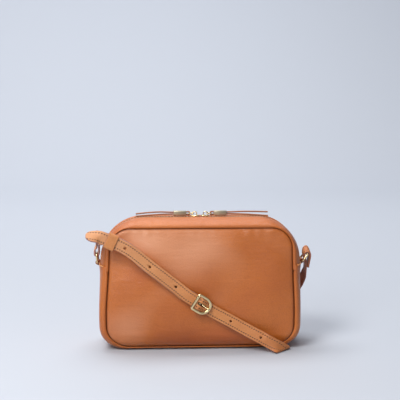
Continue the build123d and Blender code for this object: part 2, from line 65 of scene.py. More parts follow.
def lamp(name, place, aim, size, power, tint):
    """A square area lamp at a place, facing the point it aims at."""
    light = bpy.data.lights.new(name, "AREA")
    light.size = size
    light.energy = power
    light.color = tint
    o = bpy.data.objects.new(name, light)
    o.location = place
    away = np.array(place) - np.array(aim)
    o.rotation_euler = (math.acos(away[2] / np.linalg.norm(away)), 0, math.atan2(away[0], -away[1]))
    bpy.context.scene.collection.objects.link(o)


lamp("key", (-0.50, -0.70, 1.02), (0.0, 0.0, 0.07), 0.42, 10.2, (1.0, 0.985, 0.96))
lamp("window", (-0.50, -1.02, 0.62), (0.0, 0.0, 0.09), 0.35, 4.2, (1.0, 0.99, 0.97))
lamp("fill", (1.3, -1.3, 0.7), (0.0, 0.0, 0.07), 1.2, 1.3, (0.95, 0.97, 1.0))
lamp("wall", (-0.4, 0.9, 2.6), (-0.2, 2.3, 0.8), 2.0, 84.0, (1.0, 1.0, 1.0))

world = bpy.data.worlds.new("room")
world.use_nodes = True
world.node_tree.nodes["Background"].inputs["Color"].default_value = (0.90, 0.93, 1.0, 1)
world.node_tree.nodes["Background"].inputs["Strength"].default_value = 0.17
bpy.context.scene.world = world
bpy.context.scene.view_settings.view_transform = "Standard"

eye = bpy.data.cameras.new("camera")
eye.lens = 85.7
eye.clip_start = 0.05
camera = bpy.data.objects.new("camera", eye)
camera.location = (-0.0523, -0.9986, 0.262)
camera.rotation_euler = (math.radians(90 - 6.15), 0, math.radians(-3.0))
bpy.context.scene.collection.objects.link(camera)
bpy.context.scene.camera = camera


# ---- Pull laces: a thin leather lace is doubled round each pull's link, both strands go back through
# the brass tube, and the two tails lie out over the leather beside the zip, limp and cut square.
PLATE_TOP, LINK_Z, TUBE_Z = 138.5, 140.2, 140.5
LACE, LACE_TURN, TUBE_START, TUBE_END = 1.6, 11.0, 14.5, 28.1
lace_leather = bpy.data.materials.new("lace_leather")
lace_leather.use_nodes = True
lace_shader = lace_leather.node_tree.nodes["Principled BSDF"]
lace_shader.inputs["Base Color"].default_value = (0.36, 0.13, 0.055, 1)
lace_shader.inputs["Roughness"].default_value = 0.6
UP, DOWN = TUBE_Z + 0.85, TUBE_Z - 0.85
for name, way in (("left", -1), ("right", 1)):
    tail = 41.8 + 2.2 * way
    upper = [
        (LACE_TURN, 0.0, LINK_Z), (LACE_TURN, 0.0, LINK_Z + 2.15), (TUBE_START + 0.6, 0.0, UP),
        (TUBE_END + 1.5, 0.0, UP), (TUBE_END + tail / 2, 0.8, UP + 0.7),
        (TUBE_END + tail, 1.4, UP - 0.2 if way > 0 else UP - 1.6),
    ]
    lower = [
        (LACE_TURN, 0.0, LINK_Z), (LACE_TURN, 0.0, LINK_Z - 2.15), (TUBE_START + 0.6, 0.0, DOWN),
        (TUBE_END + 1.5, 0.0, DOWN), (TUBE_END + tail / 2, -0.8, DOWN - 0.5),
        (TUBE_END + tail, -1.6, DOWN - 2.2 if way > 0 else DOWN - 2.0),
    ]
    for strand, route in (("upper", upper), ("lower", lower)):
        curve = bpy.data.curves.new(f"pull_lace_{name}_{strand}", "CURVE")
        curve.dimensions = "3D"
        curve.bevel_depth = LACE / 2000
        curve.bevel_resolution = 3
        curve.use_fill_caps = True
        spline = curve.splines.new("NURBS")
        spline.points.add(len(route) - 1)
        for point, (x, y, z) in zip(spline.points, route):
            point.co = (way * x / 1000, y / 1000, z / 1000, 1)
        spline.order_u = 3
        spline.use_endpoint_u = True
        spline.resolution_u = 10
        lace = bpy.data.objects.new(curve.name, curve)
        bpy.context.scene.collection.objects.link(lace)
        curve.materials.append(lace_leather)
        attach(lace, f"pull_{name}")
        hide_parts(f"pull_lace_{name}")
        length = (57.0 if way < 0 else 61.4) / 1000


# ---- Front and back panels: one piece of tan calf leather each, fine pebble grain, swelling a few
# millimetres past the seam. The edge is turned in and sewn from inside, so it rolls into a groove.
HALF_WIDTH, HEIGHT = 105.8, 138.0
SEAM_INSET_SIDE, SEAM_INSET_LOW, SEAM_INSET_TOP = 10.5, 3.6, 10.0
CROWN = 5.6
ROLL = 2.6
GROOVE_Y = 28.6
LEAN = 5.5
EDGE = (0.22, 0.33, 0.50, 0.70)     # shares of the half outline: base, corner, side, corner, top


def outline(h, side, low, high, r_low, r_high):
    """Half outline of the bag seen from the front, h from 0 at the base's middle to 1 at the top's:
    a straight base, a quarter circle, a straight side, a larger quarter circle and a straight top.
    Negative h is the left half. Returns X and Z; every argument may be an array."""
    k = np.abs(h)
    a, b, c, d = EDGE
    turn1 = np.clip((k - a) / (b - a), 0, 1) * math.pi / 2
    turn2 = np.clip((k - c) / (d - c), 0, 1) * math.pi / 2
    x = np.clip(k / a, 0, 1) * (side - r_low) + r_low * np.sin(turn1)
    x = np.where(k > c, side - r_high + r_high * np.cos(turn2), x)
    x = np.where(k > d, (side - r_high) * np.clip((1 - k) / (1 - d), 0, 1), x)
    z = low + r_low * (1 - np.cos(turn1))
    z = z + np.clip((k - b) / (c - b), 0, 1) * (high - r_high - low - r_low)
    z = z + r_high * np.sin(turn2)
    return x * np.sign(h + 1e-12), z


def depth_outline(h, f, drop):
    """The outline at a place in the gusset's depth: f is 1 at the panel seam and 0 in the middle,
    drop is how far the surface lies inside. Corners tighten towards the seam."""
    f = np.clip(f, 0, 2)
    low = SEAM_INSET_LOW * f ** 1.5 + drop
    x, z = outline(h, HALF_WIDTH - SEAM_INSET_SIDE * f - drop, low,
                   HEIGHT - SEAM_INSET_TOP * f - drop, 23.5 - 1.5 * f - drop, 47 - 25 * f - drop)
    return x, z


def settled(x, y, z):
    """The filled bag's own shape: it is slimmer towards the top, where each panel leans in, its side
    seams belly out low down, and the panels curl under along the base. The middle of the gusset, with
    the zip, stays where it is."""
    lean = LEAN * np.clip((z - 42) / 96, 0, 1) ** 1.5
    belly = np.where(x > 0, 2.2, 3.8) * np.exp(-((z - 36) / 40) ** 2) * np.clip(np.abs(x) / 95, 0, 1.05) ** 4
    tuck = 5.0 * np.exp(-(z / 10) ** 2)
    y2 = y - np.sign(y) * (lean + tuck) * np.clip((np.abs(y) - 12) / 16, 0, 1)
    return np.stack([x + np.sign(x) * belly * np.clip((np.abs(y) - 8) / 20, 0, 1), y2, z], -1)


def surface(name, p, close_u=False, close_v=False, caps=False, uv=None, marks=None, groove_shade=None, tone=None):
    """A mesh of quads over an (n, m, 3) array of points in millimetres, turned so that it faces away
    from the bag's middle, which for a closed shape is outward. caps closes a tube's two ends. uv is a
    matching (n, m, 2) array, or the map runs in metres along the grid's middle lines. marks, one
    number for each of the m columns, picks the material. The groove shade, from 0 to 1 at each
    point, is painted shade down in a seam groove. tone, from -1 to 1, is painted light and shade:
    paler as a painted highlight above 0, deeper as a painted shade below 0."""
    n, m = p.shape[:2]
    i, j = np.meshgrid(np.arange(n if close_u else n - 1), np.arange(m if close_v else m - 1), indexing="ij")
    i2, j2 = (i + 1) % n, (j + 1) % m
    quads = np.stack([i * m + j, i2 * m + j, i2 * m + j2, i * m + j2], -1).reshape(-1, 4)
    corner = p.reshape(-1, 3)[quads]
    area = np.cross(corner[:, 2] - corner[:, 0], corner[:, 3] - corner[:, 1])
    inward = ((corner.mean(1) - (0, 0, 69)) * area).sum() < 0
    if uv is None:
        du = np.linalg.norm(np.diff(p[:, m // 2], axis=0), axis=-1)
        dv = np.linalg.norm(np.diff(p[n // 2], axis=0), axis=-1)
        u = np.concatenate([[0], np.cumsum(du)]) / 1000
        v = np.concatenate([[0], np.cumsum(dv)]) / 1000
        uv = np.stack(np.meshgrid(u, v, indexing="ij"), -1)
    ends = [np.arange(m), (n - 1) * m + np.arange(m)[::-1]] if caps else []
    faces = [quads[:, ::-1] if inward else quads] + [e[::-1] if inward else e for e in ends]
    loops = np.concatenate([f.ravel() for f in faces]).astype(np.int32)
    sizes = np.array([4] * len(quads) + [m] * len(ends), dtype=np.int32)
    mesh = bpy.data.meshes.new(name)
    mesh.vertices.add(n * m)
    mesh.vertices.foreach_set("co", (p / 1000).astype(np.float32).ravel())
    mesh.loops.add(len(loops))
    mesh.loops.foreach_set("vertex_index", loops)
    mesh.polygons.add(len(sizes))
    mesh.polygons.foreach_set("loop_start", (np.cumsum(sizes) - sizes).astype(np.int32))
    flat = uv.reshape(-1, 2)[loops].astype(np.float32).ravel()
    mesh.uv_layers.new(name="UVMap").data.foreach_set("uv", flat)
    mesh.update(calc_edges=True)
    mesh.polygons.foreach_set("use_smooth", [True] * len(quads) + [False] * len(ends))
    if groove_shade is not None:
        groove_shade_values = np.broadcast_to(groove_shade, (n, m)).astype(np.float32).ravel()
        mesh.attributes.new("groove_shade", "FLOAT", "POINT").data.foreach_set("value", groove_shade_values)
    if tone is not None:
        shift = np.broadcast_to(tone, (n, m)).astype(np.float32).ravel()
        mesh.attributes.new("tone", "FLOAT", "POINT").data.foreach_set("value", shift)
    if marks is not None:
        column = np.concatenate([np.asarray(marks)[j.ravel()], [max(marks)] * len(ends)])
        mesh.polygons.foreach_set("material_index", column.astype(np.int32))
    o = bpy.data.objects.new(name, mesh)
    bpy.context.scene.collection.objects.link(o)
    return o


def material(name, color, rough, metal=0.0):
    """A new principled material; returns it, its nodes' adder, its linker and its shader."""
    mat = bpy.data.materials.new(name)
    mat.use_nodes = True
    tree = mat.node_tree
    shader = tree.nodes["Principled BSDF"]
    shader.inputs["Base Color"].default_value = (*color, 1)
    shader.inputs["Roughness"].default_value = rough
    shader.inputs["Metallic"].default_value = metal

    def add(kind, **values):
        node = tree.nodes.new(kind)
        for key, value in values.items():
            if key[0].isupper():
                node.inputs[key.replace("_", " ")].default_value = value
            else:
                setattr(node, key, value)
        return node
    return mat, add, tree.links.new, shader


def blend_colors(add, link, share, a, b):
    """A mix of two colours, each a colour or a node's output; share is how much of the second."""
    mix = add("ShaderNodeMix", data_type="RGBA")
    link(share, mix.inputs[0])
    for socket, value in ((mix.inputs[6], a), (mix.inputs[7], b)):
        if isinstance(value, tuple):
            socket.default_value = (*value, 1)
        else:
            link(value, socket)
    return mix.outputs[2]


ROW, STITCH = 4.1, 2.6       # a seam's distance from the strap's middle, and one stitch to the next


def stitch_hole_shade(add, link):
    """Dark dots of painted shade where the thread goes in: one every stitch along the map, on the line
    ROW from its middle; each fades out from its centre over less than a millimetre."""
    def step(operation, a, b=0.0):
        node = add("ShaderNodeMath", operation=operation)
        for socket, value in ((node.inputs[0], a), (node.inputs[1], b)):
            if isinstance(value, float):
                socket.default_value = value
            else:
                link(value, socket)
        return node.outputs[0]

    split = add("ShaderNodeSeparateXYZ")
    link(add("ShaderNodeTexCoord").outputs["UV"], split.inputs[0])
    along = step("SUBTRACT", step("FRACT", step("MULTIPLY", split.outputs[0], 1000.0 / STITCH)), 0.5)
    along = step("MULTIPLY", step("SUBTRACT", 0.5, step("ABSOLUTE", along)), STITCH)
    across = step("MULTIPLY", step("ABSOLUTE", split.outputs[1]), 1000.0)
    away = step("ABSOLUTE", step("SUBTRACT", across, ROW))
    far = step("SQRT", step("ADD", step("MULTIPLY", along, along), step("MULTIPLY", away, away)))
    dot = add("ShaderNodeMapRange", From_Min=0.38, From_Max=0.80, To_Min=1.0, To_Max=0.0,
              interpolation_type="SMOOTHSTEP")
    link(far, dot.inputs["Value"])
    return dot.outputs["Result"]


def leather(name, light, dark, rough, grain=1.1, relief=0.3, sewn=False):
    """Pebble grain from the borders of Voronoi cells, grain millimetres across and bent by noise,
    over soft creases. The colour drifts between two tans and is darker in the grain's valleys. It
    turns a dark brown painted shade where an attribute marks a seam groove, and goes paler as a
    painted highlight or deeper as a painted shade where its tone attribute says. sewn adds two rows
    of dark dots along the piece's map, painted shade in the stitch holes."""
    mat, add, link, shader = material(name, light, rough)
    shader.inputs["Specular IOR Level"].default_value = 0.70
    place = add("ShaderNodeTexCoord").outputs["Object"]
    bend = add("ShaderNodeTexNoise", Scale=420.0, Detail=2.0)
    link(place, bend.inputs["Vector"])
    mixed = add("ShaderNodeMix", data_type="VECTOR", Factor=0.0012)
    link(place, mixed.inputs[4])
    link(bend.outputs["Color"], mixed.inputs[5])
    cells = add("ShaderNodeTexVoronoi", feature="DISTANCE_TO_EDGE", Scale=1000.0 / grain)
    link(mixed.outputs[1], cells.inputs["Vector"])
    valley = add("ShaderNodeMapRange", From_Min=0.0, From_Max=0.22)
    link(cells.outputs["Distance"], valley.inputs["Value"])
    drift = add("ShaderNodeTexNoise", Scale=14.0, Detail=5.0, Roughness=0.55)
    link(place, drift.inputs["Vector"])
    spread = add("ShaderNodeMapRange", From_Min=0.32, From_Max=0.68)
    link(drift.outputs["Fac"], spread.inputs["Value"])
    tone = blend_colors(add, link, spread.outputs["Result"], dark, light)
    shade = add("ShaderNodeMapRange", To_Min=0.35, To_Max=0.0)
    link(valley.outputs["Result"], shade.inputs["Value"])
    valley_tan = (dark[0] * 0.5, dark[1] * 0.42, dark[2] * 0.35)
    tone = blend_colors(add, link, shade.outputs["Result"], tone, valley_tan)
    # Painted light from the tone attribute: above 0 the colour goes towards a paler tan as a painted
    # highlight, below 0 towards a deeper tan as painted shade.
    shift = add("ShaderNodeAttribute", attribute_name="tone").outputs["Fac"]
    painted_highlight_share = add("ShaderNodeMapRange", From_Min=0.0, From_Max=1.0)
    painted_shading = add("ShaderNodeMapRange", From_Min=0.0, From_Max=-1.0)
    link(shift, painted_highlight_share.inputs["Value"])
    link(shift, painted_shading.inputs["Value"])
    painted_highlight_tan = (light[0] * 1.12, light[1] * 1.75, light[2] * 3 + 0.09)
    painted_shade_tan = (dark[0] * 0.72, dark[1] * 0.50, dark[2] * 0.4)
    tone = blend_colors(add, link, painted_highlight_share.outputs["Result"], tone, painted_highlight_tan)
    tone = blend_colors(add, link, painted_shading.outputs["Result"], tone, painted_shade_tan)
    # Painted shade down in the seam grooves: a dark brown where an attribute marks a seam groove.
    groove_shade_share = add("ShaderNodeAttribute", attribute_name="groove_shade").outputs["Fac"]
    groove_shade_brown = (dark[0] * 0.22, dark[1] * 0.15, dark[2] * 0.12)
    tone = blend_colors(add, link, groove_shade_share, tone, groove_shade_brown)
    gloss = add("ShaderNodeMapRange", To_Min=rough + 0.14, To_Max=rough)
    link(valley.outputs["Result"], gloss.inputs["Value"])
    link(gloss.outputs["Result"], shader.inputs["Roughness"])
    crease = add("ShaderNodeTexNoise", Scale=70.0, Detail=5.0)
    stretch = add("ShaderNodeMapping")
    stretch.inputs["Scale"].default_value = (0.55, 1.0, 2.6)
    link(place, stretch.inputs["Vector"])
    link(stretch.outputs["Vector"], crease.inputs["Vector"])
    low = add("ShaderNodeBump", Strength=0.32, Distance=0.002)
    link(crease.outputs["Fac"], low.inputs["Height"])
    high = add("ShaderNodeBump", Strength=relief, Distance=0.0004)
    link(valley.outputs["Result"], high.inputs["Height"])
    link(low.outputs["Normal"], high.inputs["Normal"])
    last = high
    if sewn:
        # Near-black dots at the stitch holes: painted shade.
        stitch_hole_shade_dots = stitch_hole_shade(add, link)
        tone = blend_colors(add, link, stitch_hole_shade_dots, tone, (0.035, 0.012, 0.006))
        last = add("ShaderNodeBump", Strength=0.7, Distance=0.0005, invert=True)
        link(stitch_hole_shade_dots, last.inputs["Height"])
        link(high.outputs["Normal"], last.inputs["Normal"])
    link(tone, shader.inputs["Base Color"])
    link(last.outputs["Normal"], shader.inputs["Normal"])
    return mat


panel_leather = leather("panel_leather", (0.62, 0.170, 0.020), (0.48, 0.116, 0.010), 0.34)


def thicken(o, wall, rim=True):
    """Gives an open sheet its wall, inwards from the surface."""
    s = o.modifiers.new("wall", "SOLIDIFY")
    s.thickness = wall / 1000
    s.offset = -1
    s.use_rim = rim


def put(o, mat, body, slot, *nodes):
    """The piece's material, the body it moves with and the CAD nodes it stands for; slot is not used.
    A piece that bends between two bodies is given no body here."""
    o.data.materials.append(mat)
    if body:
        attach(o, body)
    if nodes:
        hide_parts(*nodes)
    return o


def panel_grid(n, m, offset=0.0):
    """A square grid spread over the panel: each point keeps its share of the way from the middle to
    the border, and its place round the square becomes its place round the outline."""
    eased = lambda count: np.sin(np.linspace(-1, 1, count) * math.pi / 2)
    u, v = np.meshgrid(eased(n), eased(m), indexing="ij")
    share = np.maximum(np.abs(u), np.abs(v)) + 1e-9
    side = np.abs(u) >= np.abs(v)
    mid_low, mid_high = (EDGE[0] + EDGE[1]) / 2, (EDGE[2] + EDGE[3]) / 2
    h = np.where(side, mid_low + (v / share + 1) / 2 * (mid_high - mid_low),
                 np.where(v > 0, 1 - np.abs(u / share) * (1 - mid_high), np.abs(u / share) * mid_low))
    x, z = depth_outline(h * np.sign(u + 1e-12), 1.04, offset)
    z0 = HEIGHT / 2
    return x * share, z0 + (z - z0) * share


def panel_inside(x, z, offset=0.0):
    """How far a point lies inside the panel's border, with rounded corners."""
    a = HALF_WIDTH - SEAM_INSET_SIDE * 1.04 - offset
    low, high = SEAM_INSET_LOW * 1.06 + offset, HEIGHT - SEAM_INSET_TOP * 1.04 - offset
    b, zc, r = (high - low) / 2, (high + low) / 2, 21.0 - offset
    qx, qz = np.abs(x) - (a - r), np.abs(z - zc) - (b - r)
    inside = r - np.hypot(np.maximum(qx, 0), np.maximum(qz, 0)) - np.minimum(np.maximum(qx, qz), 0)
    return inside, x / a, (z - zc) / b


def panel_rise(x, z, offset=0.0):
    """How far a panel stands in front of the groove: a quarter-round roll over the first few
    millimetres from the border, then a broad crown that fades along both widths."""
    inside, u, v = panel_inside(x, z, offset)
    roll = ROLL * np.sqrt(np.clip(1 - (1 - np.clip(inside / 4.6, 0, 1)) ** 2, 0, 1))
    tall = np.where(v > 0, np.clip(1 - np.abs(v) ** 1.6, 0, 1), np.clip(1 - np.abs(v) ** 3.0, 0, 1))
    return roll + CROWN * (np.clip(1 - np.abs(u) ** 3.2, 0, 1) * tall) ** 0.8


def slack(x, z, strap_on):
    """Hand-made unevenness: broad shallow waves over the panel; where the strap lies on it, a dip
    along the diagonal with a swelling below; and small puckers that run in from the seam and die out
    over a centimetre, deeper at the corners."""
    inside, u, v = panel_inside(x, z)
    below = (x * 0.543 + z * 0.840 - 47.9) * -1
    press = 2.2 * np.exp(-((below - 36) / 16) ** 2) * np.exp(-((x + 48) / 36) ** 2)
    press = press - 2.2 * np.exp(-((below - 7) / 14) ** 2)
    press = press - 2.2 * np.exp(-((x - 10) / 28) ** 2 - ((z - 14) / 18) ** 2)
    broad = 0.75 * np.sin(x / 27 + 0.6 + 0.4 * np.sin(z / 19)) * np.sin(z / 21 + 1.1)
    broad = broad + 0.40 * np.sin(x / 13 - z / 17 + 0.5 * np.sin(x / 31)) + 0.14 * np.sin(x / 6.5 + z / 11)
    around = np.where(np.abs(u) > np.abs(v), z, x)
    pucker = np.sin(around / 2.3 + 1.5 * np.sin(around / 9)) + 0.6 * np.sin(around / 4.1 + 2)
    corner = 0.14 + 0.30 * np.clip(np.abs(u) + np.abs(v) - 1.25, 0, 1)
    near = np.clip(inside / 2.5, 0, 1) * np.exp(-np.clip(inside - 2.5, 0, 99) / 5.5)
    return (broad + press * strap_on) * np.clip((inside - 2) / 16, 0, 1) + pucker * corner * near


def painted_sheen_and_shade(x, z):
    """Painted light over a panel: three paler patches of painted highlight, high in the middle, at the
    upper left and low on the left, and deeper patches of painted shade along the base, down the right
    and in a small spot just below the strap at the left, over a faint wavy drift in tone."""
    patch = lambda cx, cz, rx, rz: np.exp(-((x - cx) / rx) ** 2 - ((z - cz) / rz) ** 2)
    painted_highlight_patches = 0.75 * patch(-8, 104, 34, 24) + 0.85 * patch(-62, 116, 30, 16) + 0.50 * patch(-74, 24, 24, 20)
    deep = 0.75 * patch(5, 8, 60, 20) + 0.15 * patch(62, 60, 30, 26) + 0.40 * patch(-60, 84, 14, 12)
    return painted_highlight_patches - deep + 0.08 * np.sin(x / 11 + 2 * np.sin(z / 17))


for name, way in (("front_panel", -1), ("back_panel", 1)):
    x, z = panel_grid(220, 160)
    y = GROOVE_Y + panel_rise(x, z) + slack(-x * way, z, way < 0)
    # Painted shade down in the border groove, darkest at the border and gone within about two millimetres
    # inside.
    edge = np.exp(-(np.maximum(panel_inside(x, z)[0], 0) / 1.1) ** 2)
    # The tone here is painted sheen and shade; the back panel takes the same patches mirrored.
    o = surface(f"{name}_leather", settled(x, way * y, z), groove_shade=edge, tone=painted_sheen_and_shade(-way * x, z))
    thicken(o, 1.6)
    put(o, panel_leather, "bag", "panel_leather", name)


# ---- Gusset: a U of leather for the base and sides, lapped over two strips that run over the top,
# one on each side of the zip. Edges at the panels are turned in; edges at the zip are folded under.
SIDE_SEAM = 88.5


def through(points, u):
    """A smooth curve through control points, u from 0 to 1: Catmull-Rom pieces, evenly shared."""
    points = np.asarray(points, float)
    ends = np.vstack([2 * points[0] - points[1], points, 2 * points[-1] - points[-2]])
    s = np.clip(np.asarray(u, float), 0, 1) * (len(points) - 1)
    i = np.minimum(s.astype(int), len(points) - 2)
    t = (s - i)[..., None]
    a, b, c, d = ends[i], ends[i + 1], ends[i + 2], ends[i + 3]
    bend, twist = 2 * a - 5 * b + 4 * c - d, 3 * b - a - 3 * c + d
    return 0.5 * (2 * b + (c - a) * t + bend * t ** 2 + twist * t ** 3)


# depth from the front, share of the seam inset, drop
HALF_SECTION = [(-28.4, 1.07, 0), (-29.7, 1.03, 0), (-30.7, 0.94, 0), (-31.0, 0.83, 0), (-30.4, 0.69, 0),
                (-28.3, 0.52, 0), (-24.5, 0.34, 0), (-18.5, 0.17, 0), (-12.0, 0.06, 0)]
ZIP_EDGE = [(-8.6, 0.03, 0), (-7.0, 0.02, 0.15), (-6.1, 0.02, 0.7), (-6.1, 0.02, 1.3), (-7.0, 0.02, 1.8),
            (-11.0, 0.03, 1.9)]


def seam_share(f, drop, height):
    """The h at which the outline passes a height on its straight side."""
    f = np.clip(f, 0, 2)
    low = SEAM_INSET_LOW * f ** 1.5 + drop + 23.5 - 1.5 * f - drop
    high = HEIGHT - SEAM_INSET_TOP * f - drop - (47 - 25 * f - drop)
    return EDGE[1] + (EDGE[2] - EDGE[1]) * (height - low) / (high - low)


def seam_groove_shade(y, f):
    """Painted shade down in the seam groove: darkest there, gone at the crest of the turned edge."""
    return np.clip((f - 0.97) / 0.06, 0, 1) * (np.abs(y) > 20)


def pinch(x, y, z):
    """The tab draws the gusset in around it, by about a millimetre."""
    pull = 1.1 * np.exp(-((z - SIDE_SEAM - 1) / 9) ** 2 - (y / 10) ** 2)
    return x - np.sign(x) * pull * (np.abs(x) > 60)


section = through(HALF_SECTION + [(y, f, 0) for y, f in ((-5.0, 0.01), (0.0, 0.0))], np.linspace(0, 1, 40))
section = np.vstack([section, section[-2::-1] * [-1, 1, 1]])
across, f, drop = (section[:, k][None, :] for k in range(3))
along = np.linspace(-1, 1, 300)[:, None]
lap = 0.9 * np.exp(-((1 - np.abs(along)) / 0.03) ** 2)
x, z = depth_outline(along * seam_share(f, drop, SIDE_SEAM), f, drop - lap)
x = pinch(x, across + 0 * x, z)
o = surface("lower_gusset", settled(x, across + 0 * x, np.maximum(z, 0.0)), groove_shade=seam_groove_shade(across, f))
thicken(o, 1.6)
put(o, panel_leather, "bag", "panel_leather", "bottom_gusset")

for name, way in (("top_gusset_front", 1), ("top_gusset_rear", -1)):
    section = through(HALF_SECTION + ZIP_EDGE, np.linspace(0, 1, 46))
    across, f, drop = (section[:, k][None, :] for k in range(3))
    along = np.linspace(-1, 1, 320)[:, None]
    h = 1 - np.abs(along) * (1 - seam_share(f, drop, SIDE_SEAM - 5))
    x, z = depth_outline(h * np.sign(along + 1e-12), f, drop + 0.3)
    x = pinch(x, across + 0 * x, z)
    o = surface(f"{name}_leather", settled(x, way * across + 0 * x, z), groove_shade=seam_groove_shade(across, f))
    thicken(o, 0.9)
    put(o, panel_leather, "bag", "panel_leather", name)


# ---- Stitching: a thick waxed thread in the leather's own tan, lying in a row of short stitches
# that dip into their holes at both ends.
thread = material("thread", (0.50, 0.20, 0.09), 0.65)[0]
STITCH_LONG, THREAD = 1.75, 0.26


def unit(v):
    return v / np.maximum(np.linalg.norm(v, axis=-1, keepdims=True), 1e-9)


def row_on(line, up, pitch, s=None):
    """Places a stitch every pitch millimetres along a line of points: returns the middles, the way
    along and the way out of the leather, each found between the two points it falls between. s is
    the length reached at each point, measured elsewhere when the row must keep step with a map."""
    if s is None:
        s = np.concatenate([[0], np.cumsum(np.linalg.norm(np.diff(line, axis=0), axis=-1))])
    at = (np.arange(math.ceil(s[0] / pitch), int(s[-1] / pitch)) + 0.5) * pitch
    middle = np.stack([np.interp(at, s, line[:, k]) for k in range(3)], -1)
    ahead = np.stack([np.interp(at + 0.5, s, line[:, k]) for k in range(3)], -1)
    behind = np.stack([np.interp(at - 0.5, s, line[:, k]) for k in range(3)], -1)
    out = unit(np.stack([np.interp(at, s, up[:, k]) for k in range(3)], -1))
    return middle, unit(ahead - behind), out


def stitches(name, rows, body="bag", size=1.0):
    """One mesh of small capsules: six-sided rings along each stitch, thin at the ends, arched so the
    ends lie below the leather."""
    middle, along, out = (np.concatenate([r[k] for r in rows]) for k in range(3))
    side = unit(np.cross(along, out))
    t = np.array([-1, -0.62, 0.62, 1.0])
    radius = np.array([0.45, 1, 1, 0.45]) * THREAD * size
    a = np.arange(6) * math.pi / 3
    arch = 0.05 - 0.30 * size * np.repeat(t ** 4, 6)
    shape = np.stack([np.repeat(t, 6) * STITCH_LONG / 2 * size,
                      (radius[:, None] * np.cos(a)).ravel() * 1.15,
                      (radius[:, None] * np.sin(a) * 0.85).ravel() + arch], -1)
    p = middle[:, None] + (shape[None, :, :1] * along[:, None] + shape[None, :, 1:2] * side[:, None]
                           + shape[None, :, 2:] * out[:, None])
    k = np.arange(6)
    k2 = (k + 1) % 6
    quads = np.concatenate([np.stack([k, k2, k2 + 6, k + 6], -1) + r * 6 for r in range(3)])
    base = np.arange(len(p))[:, None, None] * 24
    faces = (quads[None] + base).reshape(-1, 4).tolist()
    faces += (k[::-1] + base[:, 0]).tolist() + (k + 18 + base[:, 0]).tolist()
    mesh = bpy.data.meshes.new(name)
    mesh.from_pydata((p.reshape(-1, 3) / 1000).tolist(), [], faces)
    mesh.polygons.foreach_set("use_smooth", [True] * len(mesh.polygons))
    mesh.update()
    o = bpy.data.objects.new(name, mesh)
    bpy.context.scene.collection.objects.link(o)
    return put(o, thread, body, "strap_leather")


def gusset_line(y, share, drop, h):
    """A line on the gusset at one depth, and the way out of it."""
    x, z = depth_outline(h, share, drop)
    x = pinch(x, y + 0 * x, z)
    line = np.stack([x, y + 0 * x, z], -1)
    t = unit(np.gradient(line, axis=0))
    out = np.stack([-t[:, 2], 0 * x, t[:, 0]], -1)
    return line, out * np.sign((out * (line - (0, 0, 69))).sum())


rows = []
for y in (-8.9, 8.9):
    h = np.linspace(-1, 1, 600)
    h = np.sign(h) * (1 - np.abs(h) * (1 - seam_share(0.03, 0, SIDE_SEAM + 2)))
    for half in (np.sort(h[h < 0]), np.sort(h[h >= 0])):
        line, out = gusset_line(y, 0.03, 0.3, half)
        rows.append(row_on(line, out, STITCH))
stitches("zip_stitches", rows)


def wire(name, path, radius, closed=False, squeeze=1.0, up=(0, 0, 1)):
    """A round bar along a path: a ring of sixteen points carried along it, square to the path and
    kept level with one fixed direction. radius is a number or one for each point."""
    path = np.asarray(path, float)
    if closed:
        t = unit(np.roll(path, -1, 0) - np.roll(path, 1, 0))
    else:
        t = unit(np.gradient(path, axis=0))
    side = unit(np.cross(t, np.broadcast_to(np.asarray(up, float), t.shape)))
    top = np.cross(side, t)
    a = np.arange(16) * math.pi / 8
    r = np.broadcast_to(np.asarray(radius, float), len(path))[:, None, None]
    round_side = np.cos(a)[None, :, None] * side[:, None]
    round_top = squeeze * np.sin(a)[None, :, None] * top[:, None]
    p = path[:, None] + r * (round_side + round_top)
    return surface(name, p, close_u=closed, close_v=True, caps=not closed)


# ---- Side seams: the lower gusset's end is folded over and laps the upper strips. A roll lies along
# ---- the fold, coloured pale as a painted highlight, and a row of stitches runs three millimetres below it.
fold_highlight_leather = leather("fold_highlight_leather", (0.80, 0.36, 0.13), (0.72, 0.30, 0.10), 0.45)
for name, way in (("left", -1), ("right", 1)):
    y = np.linspace(-29.5, 29.5, 60)
    share = np.interp(np.abs(y), [0, 12, 18.5, 24.5, 28.3, 29.5], [0, 0.06, 0.17, 0.34, 0.52, 0.62])
    x, z = depth_outline(way * seam_share(share, 0, SIDE_SEAM + 0.2), share, 0 * y - 0.75)
    o = wire(f"side_fold_{name}", settled(pinch(x, y, z), y, z), 0.75)
    put(o, fold_highlight_leather, "bag", "panel_leather")

rows = []
for way in (-1, 1):
    y = np.linspace(-28.5, 28.5, 60)
    share = np.interp(np.abs(y), [0, 12, 18.5, 24.5, 28.3], [0, 0.06, 0.17, 0.34, 0.52])
    x, z = depth_outline(way * seam_share(share, 0, SIDE_SEAM - 3.0), share, 0 * y - 0.55)
    line = settled(pinch(x, y, z), y, z)
    rows.append(row_on(line, np.tile([way, 0, 0.0], (60, 1)), STITCH))
stitches("side_stitches", rows)


# ---- Zip: two woven tapes sewn under the leather, metal teeth clamped on their edges and a stop at
# each end. The tapes are a warm tan cotton twill, the metal pale brass.
TOP_RADIUS, ZIP_DEPTH = 47.0, 2.25


